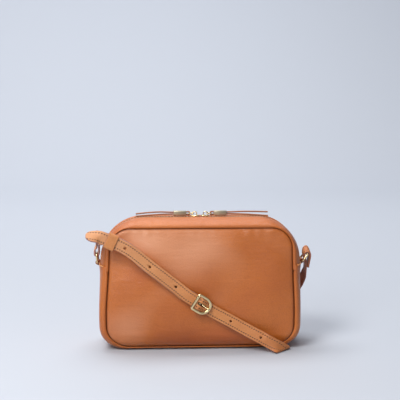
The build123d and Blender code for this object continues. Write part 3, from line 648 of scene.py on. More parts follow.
def cloth(name, color, dark, pitch, rough=0.85):
    """Woven ribs that follow the piece's own map, one every pitch millimetres both ways."""
    mat, add, link, shader = material(name, color, rough)
    place = add("ShaderNodeTexCoord").outputs["UV"]
    weft = add("ShaderNodeTexWave", Scale=1000 / pitch / 6.3, Distortion=0.4, bands_direction="X")
    warp = add("ShaderNodeTexWave", Scale=1000 / pitch / 6.3, Distortion=0.4, bands_direction="Y")
    link(place, weft.inputs["Vector"])
    link(place, warp.inputs["Vector"])
    both = add("ShaderNodeMath", operation="MULTIPLY")
    link(weft.outputs["Fac"], both.inputs[0])
    link(warp.outputs["Fac"], both.inputs[1])
    tone = add("ShaderNodeMix", data_type="RGBA")
    tone.inputs[6].default_value = (*dark, 1)
    tone.inputs[7].default_value = (*color, 1)
    link(both.outputs[0], tone.inputs[0])
    link(tone.outputs[2], shader.inputs["Base Color"])
    ribs = add("ShaderNodeBump", Strength=0.4, Distance=0.0003)
    link(both.outputs[0], ribs.inputs["Height"])
    link(ribs.outputs["Normal"], shader.inputs["Normal"])
    return mat


zip_cloth = cloth("zip_cloth", (0.40, 0.19, 0.09), (0.27, 0.12, 0.055), 0.5)
for name, way in (("zip_tape_front", -1), ("zip_tape_rear", 1)):
    y = through([(11.0,), (8.0,), (4.4,), (3.6,), (3.05,)], np.linspace(0, 1, 12))[:, 0]
    h = np.linspace(-1, 1, 260)[:, None]
    h = np.sign(h + 1e-12) * (1 - np.abs(h) * (1 - seam_share(0, 0, SIDE_SEAM + 4)))
    x, z = depth_outline(h, 0 * y[None, :], 1.92)
    o = surface(f"{name}_woven", np.stack([x, way * y[None, :] + 0 * x, z], -1))
    thicken(o, 0.6)
    put(o, zip_cloth, "bag", "zip_tape", name)


def brass(name, color, rough):
    """Polished plated metal with faint tarnish and hairline polish marks in its gloss."""
    mat, add, link, shader = material(name, color, rough, 1.0)
    place = add("ShaderNodeTexCoord").outputs["Object"]
    rub = add("ShaderNodeTexNoise", Scale=900.0, Detail=3.0)
    link(place, rub.inputs["Vector"])
    gloss = add("ShaderNodeMapRange", To_Min=rough * 0.7, To_Max=rough * 1.5)
    link(rub.outputs["Fac"], gloss.inputs["Value"])
    link(gloss.outputs["Result"], shader.inputs["Roughness"])
    stain = add("ShaderNodeTexNoise", Scale=160.0, Detail=4.0)
    link(place, stain.inputs["Vector"])
    tone = add("ShaderNodeMix", data_type="RGBA")
    tone.inputs[6].default_value = (*(c * 0.82 for c in color), 1)
    tone.inputs[7].default_value = (*color, 1)
    link(stain.outputs["Fac"], tone.inputs[0])
    link(tone.outputs[2], shader.inputs["Base Color"])
    return mat


hardware = brass("hardware_brass", (0.86, 0.68, 0.38), 0.2)
zip_brass = brass("zip_brass", (0.80, 0.66, 0.42), 0.3)


def on_zip(s):
    """Point and directions of the zip's middle line at lengths s from the middle of the top: flat,
    a quarter circle, then straight down. Returns the points, the way along and the way out."""
    flat, r = HALF_WIDTH - TOP_RADIUS, TOP_RADIUS - ZIP_DEPTH
    k = np.abs(s)
    turn = np.clip((k - flat) / r, 0, math.pi / 2)
    x = np.minimum(k, flat) + r * np.sin(turn)
    z = HEIGHT - TOP_RADIUS + r * np.cos(turn) - np.maximum(k - flat - r * math.pi / 2, 0)
    way = np.where(s < 0, -1.0, 1.0)
    along = np.stack([way * np.cos(turn), 0 * s, -np.sin(turn)], -1)
    out = np.stack([way * np.sin(turn), 0 * s, np.cos(turn)], -1)
    return np.stack([way * x, 0 * s, z], -1), along, out


def copies(name, shape, faces, at, along, side, out):
    """One mesh of the same small shape set down at many places, each with its own three directions."""
    p = at[:, None] + (shape[None, :, :1] * along[:, None] + shape[None, :, 1:2] * side[:, None]
                       + shape[None, :, 2:] * out[:, None])
    flipped = np.linalg.det(np.stack([along[0], side[0], out[0]])) < 0
    mesh = bpy.data.meshes.new(name)
    every = []
    for f in faces:
        f = np.asarray(f)[:, ::-1] if flipped else np.asarray(f)
        every += (f[None] + np.arange(len(at))[:, None, None] * len(shape)).reshape(-1, f.shape[1]).tolist()
    mesh.from_pydata((p.reshape(-1, 3) / 1000).tolist(), [], every)
    mesh.update()
    o = bpy.data.objects.new(name, mesh)
    bpy.context.scene.collection.objects.link(o)
    return o


# stations across a tooth: reach from its tip, half length, half height
tooth_plan = np.array([(0.0, 0.30, 0.75), (0.25, 0.55, 1.05), (1.1, 0.62, 1.2), (1.7, 0.42, 1.2),
                       (2.3, 0.42, 1.2), (2.9, 0.60, 1.2), (4.0, 0.62, 1.15), (4.5, 0.4, 0.9)])
corner = np.array([(-1, -0.6), (-0.6, -1), (0.6, -1), (1, -0.6), (1, 0.6), (0.6, 1), (-0.6, 1), (-1, 0.6)])
tooth = np.concatenate([np.stack([corner[:, 0] * a, np.full(8, r), corner[:, 1] * b], -1)
                        for r, a, b in tooth_plan])
k = np.arange(8)
k2 = (k + 1) % 8
tooth_sides = np.concatenate([np.stack([k, k2, k2 + 8, k + 8], -1) + r * 8 for r in range(7)])[:, ::-1]
tooth_ends = np.stack([k, (k + 56)[::-1]])[:, ::-1]
length = HALF_WIDTH - TOP_RADIUS + (TOP_RADIUS - ZIP_DEPTH) * math.pi / 2
length = length + HEIGHT - TOP_RADIUS - SIDE_SEAM - 4.0
for name, way, shift in (("zip_teeth_front", -1, 0.0), ("zip_teeth_rear", 1, 1.5)):
    s = 5.6 + shift + 3.0 * np.arange(int((length - 5.6 - shift) / 3.0))
    at, along, out = on_zip(np.concatenate([-s, s]))
    across = np.tile([0.0, way, 0.0], (len(at), 1))
    at = at + across * -0.9
    turned = np.linalg.det(np.stack([along, across, out], 1))
    along = along * turned[:, None]
    o = copies(f"{name}_row", tooth, [tooth_sides, tooth_ends], at, along, across, out)
    put(o, zip_brass, "bag", "zip_metal", name)


def rounded(points, radius, steps=4):
    """A closed outline in a plane with each corner turned on an arc of the given radius: a quadratic
    curve from one side to the next whose middle control point is the corner."""
    points = np.asarray(points, float)
    radius = np.broadcast_to(np.asarray(radius, float), len(points))
    before, after = np.roll(points, 1, 0), np.roll(points, -1, 0)
    a = points + unit(before - points) * radius[:, None]
    b = points + unit(after - points) * radius[:, None]
    t = np.linspace(0, 1, steps + 1)[None, :, None]
    arc = a[:, None] * (1 - t) ** 2 + 2 * points[:, None] * t * (1 - t) + b[:, None] * t ** 2
    return arc.reshape(-1, 2)


def slab(name, outline_xy, low, high, edge, place=lambda p: p):
    """A flat plate: its outline drawn in smaller at the two faces, so that the edges are rounded, the
    faces closed by drawing it in to its middle. place carries the points from the plate's own
    directions to the bag's."""
    middle = outline_xy.mean(0)
    quarter = np.linspace(0, math.pi / 2, 4)
    rings = [(edge * (1 - math.cos(a)), low + edge * (1 - math.sin(a))) for a in quarter[::-1]]
    rings += [(edge * (1 - math.cos(a)), high - edge * (1 - math.sin(a))) for a in quarter]
    p = []
    for inset, z in rings:
        ring = outline_xy - unit(outline_xy - middle) * inset
        p.append(np.column_stack([ring, np.full(len(ring), z)]))
    return surface(name, place(np.array(p)), close_v=True, caps=True)


def loop(x0, x1, half, radius, steps=6):
    """A rounded rectangle as a closed path of points in a plane, with points along its sides."""
    corners = rounded([(x0, -half), (x1, -half), (x1, half), (x0, half)], radius, steps)
    t = np.linspace(0, 1, 4)[None, :3, None]
    return (corners[:, None] * (1 - t) + np.roll(corners, -1, 0)[:, None] * t).reshape(-1, 2)


for name, way in (("left", -1), ("right", 1)):
    block = rounded([(-1.2, -2.6), (1.2, -2.6), (1.2, 2.6), (-1.2, 2.6)], 0.5)
    x0 = way * (HALF_WIDTH - ZIP_DEPTH)
    o = slab(f"stop_{name}", block, 89.0, 91.9, 0.4, lambda p: p + (x0, 0, 0))
    put(o, zip_brass, "bag", "zip_metal", f"zip_stop_{name}")


# ---- Sliders: two cast brass sliders meet in the middle of the zip. Each has an upper and a lower
# plate joined by a nose, side flanges round the teeth, and a raised bail that holds the pull.
def joined(name, pieces):
    """Several meshes made one piece."""
    with bpy.context.temp_override(active_object=pieces[0], selected_editable_objects=pieces):
        bpy.ops.object.join()
    pieces[0].name = pieces[0].data.name = name
    return pieces[0]


for name, way in (("left", -1), ("right", 1)):
    turned = lambda p: p * (way, 1, 1)
    plan = rounded([(1.0, -3.2), (3.4, -4.4), (6.4, -3.7), (9.5, -3.3),
                    (9.5, 3.3), (6.4, 3.7), (3.4, 4.4), (1.0, 3.2)],
                   (1.0, 1.1, 1.2, 1.0, 1.0, 1.2, 1.1, 1.0))
    upper = slab("upper", plan, 137.3, PLATE_TOP, 0.45, turned)
    lower = slab("lower", plan, 133.0, 134.2, 0.45, turned)
    wedge = rounded([(1.9, -1.2), (4.2, -0.9), (4.2, 0.9), (1.9, 1.2)], 0.5)
    nose = slab("nose", wedge, 134.0, 137.5, 0.1, turned)
    flanges = []
    for edge in (-1, 1):
        wall = rounded([(2.2, edge * 3.5), (7.8, edge * 3.0), (7.8, edge * 3.7), (4.0, edge * 4.1)], 0.25)
        flanges.append(slab("flange", wall, 136.4, 137.5, 0.1, turned))
    hoop = [(3.5, 0, 137.8), (3.5, 0, 139.6), (3.7, 0, 141.0), (4.6, 0, 141.7), (6.0, 0, 141.8),
            (7.3, 0, 141.6), (8.1, 0, 140.9), (8.4, 0, 139.6), (8.4, 0, 137.8)]
    arch = through(hoop, np.linspace(0, 1, 40))
    bail = wire("bail", turned(arch), 0.5, squeeze=1.7, up=(0, 1, 0))
    o = joined(f"zip_slider_{name}", [upper, lower, nose, *flanges, bail])
    put(o, hardware, f"slider_{name}", "hardware", f"slider_{name}")
    path = loop(6.6, 12.6, 1.9, 1.2)
    path = turned(np.column_stack([path, np.full(len(path), LINK_Z)]))
    link = wire(f"link_ring_{name}", path, 0.4, closed=True)
    put(link, hardware, f"link_{name}", "hardware", f"pull_link_{name}")


# ---- Pull tubes: a short square brass tube with softened corners crimped over each doubled lace,
# brushed along its length and paler than the sliders.
tube_brass = brass("tube_brass", (0.66, 0.57, 0.40), 0.34)
for name, way in (("left", -1), ("right", 1)):
    ends = [(TUBE_START + 0.15, 2.0), (TUBE_START, 2.15), (TUBE_START + 0.05, 2.3), (TUBE_START + 0.3, 2.4),
            (TUBE_END - 0.3, 2.4), (TUBE_END - 0.05, 2.3), (TUBE_END, 2.15), (TUBE_END - 0.15, 2.0)]
    rings = []
    for x, half in ends:
        edge = rounded([(-half, -half), (half, -half), (half, half), (-half, half)], 0.55)
        rings.append(np.column_stack([np.full(len(edge), way * x), edge + (0, TUBE_Z)]))
    o = surface(f"brass_tube_{name}", np.array(rings), close_u=True, close_v=True)
    put(o, tube_brass, f"pull_{name}", "tube_metal", f"pull_tube_{name}")


# ---- Rings and tabs: at each side seam a folded strip of the bag's leather comes out, round the
# lower bar of a rectangular brass ring and back in. The ring tips outward with the strap's pull.
RING_X, RING_Z, RING_HEIGHT, RING_HALF = 108.1, 89.5, 9.0, 8.6
strap_leather = leather("strap_leather", (0.74, 0.30, 0.085), (0.60, 0.215, 0.055), 0.42, 0.9, 0.35)
strap_sewn = leather("strap_sewn", (0.74, 0.30, 0.085), (0.60, 0.215, 0.055), 0.42, 0.9, 0.35, sewn=True)


def band(name, path, up, width, thick, closed=False):
    """A flat strip: a rounded rectangle of width and thickness carried along a path. up is the way out
    of its face at each point; width and thick are numbers or one for each point. The edges are
    marked for a second material, and a shallow line runs along them between the two layers."""
    path = np.asarray(path, float)
    t = unit(np.roll(path, -1, 0) - np.roll(path, 1, 0)) if closed else unit(np.gradient(path, axis=0))
    up = unit(up - t * (up * t).sum(-1, keepdims=True))
    return swept(name, path, np.cross(up, t), up, width, thick, closed)


# across a strip's face, as shares of the flat part, with the dip that each row of stitches pulls
FACE = np.array([-1, -0.93, -0.83, -0.76, -0.70, -0.64, -0.56, -0.3, 0,
                 0.3, 0.56, 0.64, 0.70, 0.76, 0.83, 0.93, 1])
DIP = 0.09 * np.exp(-((np.abs(FACE) - 0.70) / 0.06) ** 2) + 0.10 * np.abs(FACE) ** 8


def swept(name, path, side, up, width, thick, closed=False, tone=None):
    """The strip's skin: two faces, four rounded corners and two edges with a line along the middle."""
    n = len(path)
    half = np.broadcast_to(np.asarray(width, float) / 2, n)[:, None]
    deep = np.broadcast_to(np.asarray(thick, float) / 2, n)[:, None]
    r = np.minimum(0.45, deep * 0.8)
    a = np.array([22.5, 45, 67.5]) * math.pi / 180
    face_s, face_u = FACE[None, :] * (half - r), deep - DIP[None, :] * np.minimum(1, deep) + 0 * half
    turn_s, turn_u = half - r + r * np.sin(a), deep - r - 0.1 * np.minimum(1, deep) + r * np.cos(a)
    edge_s = np.hstack([half, half, half - 0.16 * np.minimum(1, deep), half, half])
    edge_u = np.hstack([deep - r - 0.05, 0.12 + 0 * deep, 0 * deep, -0.12 + 0 * deep, r + 0.05 - deep])
    s = np.hstack([face_s, turn_s, edge_s, turn_s[:, ::-1], -face_s, -turn_s, -edge_s, -turn_s[:, ::-1]])
    u = np.hstack([face_u, turn_u, edge_u, -turn_u[:, ::-1], -face_u, -turn_u, -edge_u, turn_u[:, ::-1]])
    marks = [0] * 18 + [1] * 9 + [0] * 19 + [1] * 9 + [0]
    p = path[:, None] + s[:, :, None] * side[:, None] + u[:, :, None] * up[:, None]
    run = np.concatenate([[0], np.cumsum(np.linalg.norm(np.diff(path, axis=0), axis=-1))])
    uv = np.stack([np.broadcast_to(run[:, None], s.shape), s], -1) / 1000
    return surface(name, p, close_u=closed, close_v=True, caps=not closed, uv=uv,
                   marks=marks[:s.shape[1]], tone=tone)


edge_leather = leather("edge_leather", (0.46, 0.20, 0.13), (0.36, 0.14, 0.09), 0.6, 0.5, 0.3)
for name, way, lean in (("left", -1, 6.0), ("right", 1, 41.0)):
    r = 1.4 + 0.45
    a = np.radians(np.linspace(-78, 205, 25))
    eye = np.stack([RING_X + r * np.cos(a[::-1]), RING_Z + r * np.sin(a[::-1])], -1)
    path = [(98.0, 88.05), (102.0, 88.05), (104.4, 88.0), (105.6, 88.1)]
    path += eye.tolist()
    path += [(107.9, 87.2), (106.9, 87.0), (105.6, 87.1), (104.4, 87.1), (102.0, 87.15), (98.0, 87.15)]
    path = through(path, np.linspace(0, 1, 150))
    path = np.column_stack([way * path[:, 0], 0 * path[:, 0], path[:, 1]])
    t = unit(np.gradient(path, axis=0))
    up = np.stack([-t[:, 2], 0 * t[:, 0], t[:, 0]], -1) * way
    o = band(f"tab_{name}", path, up, 14.0, 0.85)
    o.data.materials.append(panel_leather)
    put(o, edge_leather, "bag", "panel_leather", f"ring_tab_{name}")
    path = loop(0.0, RING_HEIGHT, RING_HALF, 1.8)
    tip = math.radians(lean)
    leant = RING_X + path[:, 0] * math.sin(tip)
    path = np.stack([way * leant, path[:, 1], RING_Z + path[:, 0] * math.cos(tip)], -1)
    ring = wire(f"strap_ring_{name}", path, 1.1, closed=True, up=(math.cos(tip) * way, 0, -math.sin(tip)))
    put(ring, hardware, f"ring_{name}", "hardware", f"ring_{name}")


# ---- Strap: two lengths of doubled leather, thirteen millimetres wide, sewn along both edges. The
# short one holds the buckle; the long one has the holes, and its spare length lies folded behind.
WIDE, THICK, SKIVED, FOLD = 13.0, 2.0, 1.6, 1.0
FRONT = -36.3
KEEPER_AT = np.array([-92.3, FRONT, 116.6])
PASS_AT = np.array([84.0, FRONT, 2.8])
OUT = (0, -1, 0)


def diagonal(share, sag, level):
    """A point over the front, on the line from the keeper to the lower right corner."""
    return KEEPER_AT + (PASS_AT - KEEPER_AT) * share + (0, -level, sag)


HOLES = ((0.0794, 2.4), (0.2223, -1.0), (0.372, -4.9), (0.692, -5.2), (0.867, -2.1))
PRONG_AT = diagonal(0.5286, -6.8, 0)
ALONG = unit(diagonal(0.692, -5.2, 0) - diagonal(0.372, -4.9, 0))
ACROSS = np.cross((0, -1, 0), ALONG)
KEEPER_ALONG = unit(diagonal(0.0794, 2.4, 0) - diagonal(0.0, 0.0, 0))
KEEPER_ACROSS = np.cross((0, -1, 0), KEEPER_ALONG)


def at_buckle(s, level, w=0.0):
    return PRONG_AT + ALONG * s + ACROSS * w + np.array((0, -1.0, 0)) * level


def at_keeper(s, level, w=0.0):
    return diagonal(0, 0, 0) + KEEPER_ALONG * s + KEEPER_ACROSS * w + np.array((0, -1.0, 0)) * level


def lay_strap(route, fine=6):
    """Stations along a strap, each a point, the way its face looks, its thickness, its width's share
    and, where it twists, the way across. A smooth curve goes through the points and another through
    the ways across; the face is square to both. Returns the points, across, out, width and
    thickness along it."""
    p = np.array([r[0] for r in route], float)
    ahead = np.vstack([p[1:], p[-1:]]) - np.vstack([p[:1], p[:-1]])
    t = unit(ahead)
    side, wide = [], []
    for k, (_, facing, thick, share, across) in enumerate(route):
        if across is None:
            n = unit(np.array(facing, float) - t[k] * np.dot(facing, t[k]))
            side.append(np.cross(t[k], n))
            wide.append(WIDE * share)
        else:
            side.append(unit(np.array(across, float)))
            wide.append(np.linalg.norm(across))
    side = np.array(side)
    u = np.linspace(0, 1, (len(route) - 1) * fine + 1)
    p, side = through(p, u), unit(through(side, u))
    t = unit(np.gradient(p, axis=0))
    out = unit(np.cross(side, t))
    thick = through(np.array([[r[2]] for r in route]), u)[:, 0]
    return p, side, out, through(np.array(wide)[:, None], u)[:, 0], thick


def station(point, facing, thick=THICK, width=1.0, across=None):
    return (point, facing, thick, width, across)


def sewn(p, side, out, thick, spans, faces=(-1, 1)):
    """Two rows of stitches along a strap, on its faces, over the given stretches of stations."""
    rows = []
    run = np.concatenate([[0], np.cumsum(np.linalg.norm(np.diff(p, axis=0), axis=-1))])
    for a, b in spans:
        for w in (-ROW, ROW):
            for f in faces:
                line = p[a:b] + side[a:b] * w + out[a:b] * f * (thick[a:b, None] / 2 - 0.14)
                rows.append(row_on(line, out[a:b] * f, STITCH, run[a:b]))
    return rows


# Near-black leather for the walls of the punched holes and slot: painted shade inside them.
hole_wall_shade = leather("hole_wall_shade_leather", (0.05, 0.02, 0.01), (0.03, 0.012, 0.006), 0.8)


def punch(o):
    """Cuts the round holes and the prong's slot right through a strap, and keeps its map. The cut
    walls take a near-black material, painted shade inside the holes.
    """
    tools = []
    for share, sag in HOLES:
        a, b = diagonal(share, sag, -2), diagonal(share, sag, 14)
        tools.append(wire("punch", np.linspace(a, b, 2), 1.2, up=(1, 0, 0)))
    slot = rounded([(-6.2, -1.3), (3.4, -1.3), (3.4, 1.3), (-6.2, 1.3)], 1.1)
    facing = lambda q: PRONG_AT + q[..., :1] * ALONG + q[..., 1:2] * ACROSS + q[..., 2:] * (0, -1.0, 0)
    tools.append(slab("slot", slot, -2.0, 9.0, 0.01, facing))
    cutter = joined("cutter", tools)
    cutter.data.materials.append(hole_wall_shade)
    cut = o.modifiers.new("holes", "BOOLEAN")
    cut.object = cutter
    cut.operation = "DIFFERENCE"
    cut.solver = "EXACT"
    cut.use_self = True
    cut.material_mode = "TRANSFER"
    bpy.context.view_layer.update()
    done = bpy.data.meshes.new_from_object(o.evaluated_get(bpy.context.evaluated_depsgraph_get()))
    o.modifiers.remove(cut)
    done.name = o.name
    o.data = done
    bpy.data.objects.remove(cutter)


bx = -RING_X - RING_HEIGHT * math.sin(math.radians(6))
bz = RING_Z + RING_HEIGHT * math.cos(math.radians(6))
r = 1.1 + 0.3 + 0.05 + SKIVED / 2
short = [station((bx + 2.4, 0, bz + 10), (1, 0, 0), SKIVED), station((bx + r, 0, bz + 4), (1, 0, 0), SKIVED)]
for turn in range(0, 181, 30):
    n = np.array((math.cos(math.radians(turn)), 0, -math.sin(math.radians(turn))))
    short.append(station(np.array((bx, 0, bz)) + r * n, n, SKIVED, across=(0, -WIDE, 0)))
short += [
    station((bx - 1.9, 0, bz + 4.5), (-1, 0, 0), SKIVED),
    station((bx + 0.3, -0.8, bz + 9.5), (-1, 0, 0), SKIVED),
    station((bx + 0.7, -5, bz + 14.8), (-1, 0, 0.1), SKIVED),
    station((bx + 0.9, -13, bz + 19.4), (-1, 0, 0.1), SKIVED),
    station((bx + 1.7, FRONT + 14.5, bz + 20.4), (-1, -0.1, 0)),
    station((bx + 3.3, FRONT + 6.0, bz + 20.6), (-0.85, -0.5, 0)),
    station((bx + 6.2, FRONT - 0.8, bz + 20.4), (-0.45, -0.85, 0)),
    station(at_keeper(-6, 3.2), OUT), station(at_keeper(18, 3.2), OUT),
    station(diagonal(0.2223, -2.3, 1.3), (0, -1, 0.22)), station(diagonal(0.372, -6.2, 0.9), (0, -1, 0.18)),
    station(at_buckle(-24, 1.0, -0.9), OUT), station(at_buckle(-19, 1.9), OUT, 1.4),
    station(at_buckle(-8.5, 1.9), OUT, 1.4),
]
for turn in range(90, -91, -30):
    a = math.radians(turn)
    q = at_buckle(-3.5 + 1.7 * math.cos(a), 2.3 + 1.7 * math.sin(a))
    n = ALONG * math.cos(a) + np.array((0, -1.0, 0)) * math.sin(a)
    short.append(station(q, n, FOLD, across=-ACROSS * WIDE))
short += [station(at_buckle(-8.5, 0.55), (0, 1, 0), FOLD), station(at_buckle(-18, 0.55), (0, 1, 0), FOLD)]

curl = ((7.0, -7.5), (8.0, -1.5), (9.0, 4.5), (8.8, 8.9), (6.5, 11.4), (4.0, 10.5),
        (2.8, 7.8), (2.9, 4.8), (3.8, 2.0), (4.5, -1.5), (4.6, -7.0))
nod = (0, 0, 1.5, 3.5, 5.0, 4.5, 3.0, 1.5, 0.5, 0, 0)
long = []
for k, (dx, dz) in enumerate(curl):
    (x0, z0), (x1, z1) = curl[max(k - 1, 0)], curl[min(k + 1, len(curl) - 1)]
    long.append(station((RING_X + dx, 0, RING_Z + dz), (z0 - z1, 0, x1 - x0), across=(0, -WIDE, -nod[k])))
RUNS, STEP, HANK = 4, 2.4, 82.0
hank_y, hank_top = 46.5, 1.1 + STEP * RUNS
long += [
    station((RING_X + 4.4, 0.6, RING_Z - 11), (1, 0, 0)),
    station((RING_X + 3.9, 3, RING_Z - 15.5), (1, 0.1, 0)),
    station((RING_X + 2.5, 9, RING_Z - 22), (1, 0.2, 0)),
    station((RING_X + 0.5, 18, RING_Z - 29.5), (0.95, 0.3, 0)),
    station((RING_X - 1.5, 28, RING_Z - 38), (0.9, 0.4, -0.1)),
    station((RING_X - 3.6, 36, RING_Z - 48), (0.85, 0.45, -0.2)),
    station((RING_X - 7.6, hank_y - 5, RING_Z - 60), (0.75, 0.4, -0.5)),
    station((RING_X - 15, hank_y - 2, hank_top + 7), (0.5, 0.2, -0.85)),
    station((RING_X - 27, hank_y, hank_top + 1.2), (0.1, 0, -1)),
    station((RING_X - 37, hank_y, hank_top), (0, 0, -1)),
]
way = -1
for k in range(RUNS - 1):
    level = hank_top - k * STEP
    end = -HANK if way < 0 else HANK - 10.9
    for turn in (90, 60, 30, 0, -30, -60, -90):
        a = math.radians(turn)
        n = np.array((way * math.cos(a), 0, math.sin(a))) * (-1 if k % 2 == 0 else 1)
        q = (end + way * STEP / 2 * math.cos(a), hank_y, level - STEP / 2 + STEP / 2 * math.sin(a))
        long.append(station(q, n, across=(0, -WIDE, 0)))
    way = -way
xp, w, h, high = PASS_AT[0], WIDE, STEP / 2, 1.1 + STEP
long += [
    station((xp - w, hank_y, high), (0, 0, 1), across=(0, -w, 0)),
    station((xp, hank_y, high), (0, 0, 1), across=(w, -w, 0)),
    station((xp + h * 0.6, hank_y + h * 0.6, high - h * 0.4), (0.6, 0.6, 0.6), across=(w, -w, 0)),
    station((xp + h * 0.7, hank_y + h * 0.7, high - h), (0.7, 0.7, 0), across=(w, -w, 0)),
    station((xp + h * 0.6, hank_y + h * 0.6, high - h * 1.6), (0.6, 0.6, -0.6), across=(w, -w, 0)),
    station((xp, hank_y, 1.1), (0, 0, -1), across=(w, -w, 0)),
    station((xp, hank_y - w, 1.1), (0, 0, -1), across=(w, 0, 0)),
    station((xp, FRONT + 18, 1.1), (0, 0, -1), across=(w, 0, 0)),
    station((xp, FRONT + 9, 1.1), (0, 0, -1), across=(w, w * 0.5, 0)),
    station((xp, FRONT + 2.3, 1.25), (0, 0, -1), across=(13.9, 13.9, 0.1)),
    station((xp + 0.2, FRONT - 1.9, 1.6), (0, -0.3, -1), across=(15.9, 16.4, 0.6)),
    station((xp - 0.2, FRONT - 3.9, 2.4), (0, -0.7, -0.7), across=(16.4, 16.0, 2.0)),
    station((xp - 2.1, FRONT - 5.1, 3.7), (0, -1, -0.2), across=(15.0, 14.0, 3.8)),
    station((xp - 5.4, FRONT - 6.2, 5.9), (0, -1, 0), across=(11.9, 8.9, 6.9)),
    station((xp - 9.5, FRONT - 7.0, 8.3), (0, -1, 0), across=(9.0, 3.1, 9.4)),
    station(diagonal(0.90, -1.4, 6.6), (0, -1, -0.05)),
    station(diagonal(0.867, -2.1, 5.2), (0, -1, 0.15)), station(diagonal(0.78, -3.9, 2.8), (0, -1, 0.2)),
    station(diagonal(0.692, -5.2, 1.6), (0, -1, 0.12)),
    station(at_buckle(14, 1.2), OUT), station(at_buckle(6, 1.7), OUT),
    station(at_buckle(2.9, 2.4), OUT), station(at_buckle(0.5, 3.6), OUT), station(at_buckle(-1.5, 5.1), OUT),
    station(at_buckle(-3.5, 5.9), OUT), station(at_buckle(-6.5, 5.1), OUT), station(at_buckle(-9, 4.1), OUT),
    station(at_buckle(-14, 4.0), OUT), station(at_buckle(-19, 3.95), OUT),
    station(diagonal(0.372, -4.9, 3.4), (0, -1, 0.18)), station(diagonal(0.2223, -1.0, 3.9), (0, -1, 0.22)),
    station(at_keeper(18, 5.5), OUT), station(at_keeper(-8, 5.5), OUT),
]
tip = diagonal(0, 0, 5.5)
for dx, dz, dy, width, turn in ((-14, 5.4, 0.6, 1.0, 0.6), (-19.5, 5.9, 1.2, 1.0, 1.0),
                                (-22.5, 6.2, 1.4, 0.84, 1.1), (-24.6, 6.4, 1.5, 0.56, 1.1),
                                (-25.6, 6.5, 1.6, 0.26, 1.1)):
    long.append(station(tip + (dx, -dy, dz), (0, -1, turn), width=width))

for name, route, ring, start, end in (
    ("strap_short", short, "ring_left", (-0.110, 0, 0.100), (-0.104, -0.030, 0.110)),
    ("strap_long", long, "ring_right", (0.112, 0, 0.092), (0.100, 0, 0.060)),
):
    p, side, out, wide, thick = lay_strap(route)
    # Painted light along each strap: a little paler as a painted highlight at the left, towards the lamps,
    # and a deeper painted shade towards the right.
    painted_shading = np.interp(p[:, 0], (-95, -20, 20, 85), (0.18, 0.02, -0.15, -0.50))[:, None]
    o = swept(f"{name}_leather", p, side, out, wide, thick, tone=painted_shading)
    o.data.materials.append(strap_sewn)
    put(o, edge_leather, None, "strap_leather", name)
    punch(o)
    last = len(p) - 60 if name == "strap_short" else len(p) - 34
    seams = stitches(name + "_stitches", sewn(p, side, out, thick, [(0, last)]), None)
    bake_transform(o)
    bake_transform(seams)


# ---- Keeper, buckle and prong: a narrow leather band holds the strap's end near the left corner. The
# buckle is a brass horseshoe of round bar with a hidden bar for the strap and a tapered prong.
path = loop(-6.9 - 0.7, 6.9 + 0.7, (2.2 + 4.3 + 0.4 - 1.8) / 2 + 0.7, 1.6)
level = (2.2 - 0.4 + 2.2 + 4.3 + 0.4) / 2
ring = np.array([at_keeper(0, level + b, a) for a, b in path])
up = unit(np.array([at_keeper(0, b * 1.0, a * 0.35) - at_keeper(0, 0, 0) for a, b in path]))
o = band("keeper_band", ring, up, 10.5, 1.3, closed=True)
o.data.materials.append(strap_leather)
put(o, edge_leather, "keeper", "strap_leather", "strap_keeper")

BOW = 16.8                   # from the straight bar to the round end
half = WIDE / 2 + 0.6 + 1.1
tilt = math.radians(8)
turn = np.radians(np.linspace(-90, 90, 25))
nose = np.stack([BOW - half + half * np.cos(turn), half * np.sin(turn)], -1)
back = rounded([(BOW - half, half), (0, half), (0, -half), (BOW - half, -half)], (0.01, 1.6, 1.6, 0.01))[5:15]
sides = [np.linspace((BOW - half, half), back[0], 8)[1:-1], back,
         np.linspace(back[-1], (BOW - half, -half), 8)[1:-1]]
flat = np.vstack([nose, *sides])
frame_path = np.array([at_buckle(-9 + s * math.cos(tilt), 6.8 - s * math.sin(tilt), w) for s, w in flat])
frame_up = unit(at_buckle(math.sin(tilt), math.cos(tilt)) - at_buckle(0, 0))
bend = wire("bend", frame_path, 1.5, closed=True, squeeze=0.72, up=frame_up)
drop = 6.8 - 5.5 * math.tan(tilt)
ears = [wire("ear", np.linspace(at_buckle(-3.5, 2.0, e), at_buckle(-3.5, drop, e), 6), 0.9, up=ALONG)
        for e in (-half, half)]
bar_path = np.linspace(at_buckle(-3.5, 2.3, -half - 0.9), at_buckle(-3.5, 2.3, half + 0.9), 8)
bar = wire("bar", bar_path, 0.9, up=(0, -1, 0))
o = joined("buckle_horseshoe", [bend, *ears, bar])
put(o, hardware, "buckle", "hardware", "buckle_frame")

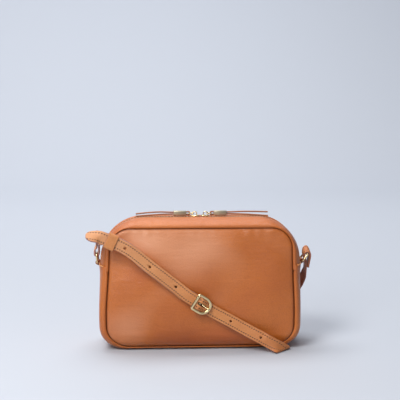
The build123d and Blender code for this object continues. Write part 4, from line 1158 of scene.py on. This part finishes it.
run, rise = BOW * math.cos(tilt) - 5.5, 6.8 - BOW * math.sin(tilt) - 2.3
reach = math.hypot(rise, run)
lift = math.atan2(rise, run) + math.asin(2.2 / reach)
s = np.array([1.5, 3, 5, 7, reach - 1, reach + 0.6, reach + 1.5, reach + 1.95])
radius = np.array([0.95, 0.95, 0.9, 0.86, 0.8, 0.72, 0.6, 0.3])
rod_path = [at_buckle(-3.5 + a * math.cos(lift), 2.3 + a * math.sin(lift)) for a in s]
rod = wire("rod", rod_path, radius, up=ACROSS)
a = np.linspace(0, 2 * math.pi, 25)[:-1]
hoop = np.array([at_buckle(-3.5 + 1.55 * math.cos(t), 2.3 + 1.55 * math.sin(t)) for t in a])
eye = wire("eye", hoop, 0.36, closed=True, squeeze=2.4, up=ACROSS)
o = joined("prong_rod", [rod, eye])
put(o, hardware, "prong", "hardware", "buckle_prong")


# ---- Linings: a cotton twill bag hangs inside, sewn in at the zip, with a patch pocket on the back.
lining_cloth = cloth("lining_cloth", (0.52, 0.42, 0.30), (0.40, 0.31, 0.21), 0.6)
for name, way in (("lining_front", -1), ("lining_back", 1)):
    x, z = panel_grid(70, 50, 2.6)
    wave = 0.25 * np.sin(x / 9 + z / 31) + 0.2 * np.sin(z / 11 - x / 40)
    y = 25.75 + np.maximum(panel_rise(x, z, 2.6) - ROLL, 0) + wave * 0.6
    o = surface(f"{name}_cloth", settled(x, way * y, z))
    thicken(o, 0.5)
    put(o, lining_cloth, "bag", "lining", name)
y = np.linspace(-25.2, 25.2, 40)[None, :]
h = np.linspace(-1, 1, 240)[:, None] * seam_share(0.0, 5.1, SIDE_SEAM + 2)
x, z = depth_outline(h, np.abs(y / 26.0) ** 4 * 0.55, 5.1)
o = surface("lining_gusset_cloth", np.stack([x, y + 0 * x, z], -1))
thicken(o, 0.5)
put(o, lining_cloth, "bag", "lining", "lining_gusset")

x, z = np.meshgrid(np.linspace(-50, 50, 60), np.linspace(38, 92, 40), indexing="ij")
full = np.sin((x + 50) / 100 * math.pi) * np.clip((z - 38) / 54, 0, 1) ** 0.7
z = np.hstack([z, z[:, -1:] + 0.3, z[:, -1:], z[:, -4:-1][:, ::-1]])
full = np.hstack([full, full[:, -1:], full[:, -1:], full[:, -4:-1][:, ::-1]])
turned = np.concatenate([np.zeros(40), [0.5], np.full(4, 1.0)])[None, :]
x = np.repeat(x[:, :1], z.shape[1], 1)
rise = np.maximum(panel_rise(x, z, 2.6) - ROLL, 0)
wave = 0.15 * np.sin(x / 9 + z / 31) + 0.12 * np.sin(z / 11 - x / 40)
o = surface("pocket_cloth", settled(x, 25.75 + rise + wave - 1.1 - 1.2 * full - turned, z))
thicken(o, 0.5)
put(o, lining_cloth, "bag", "lining", "inner_pocket")
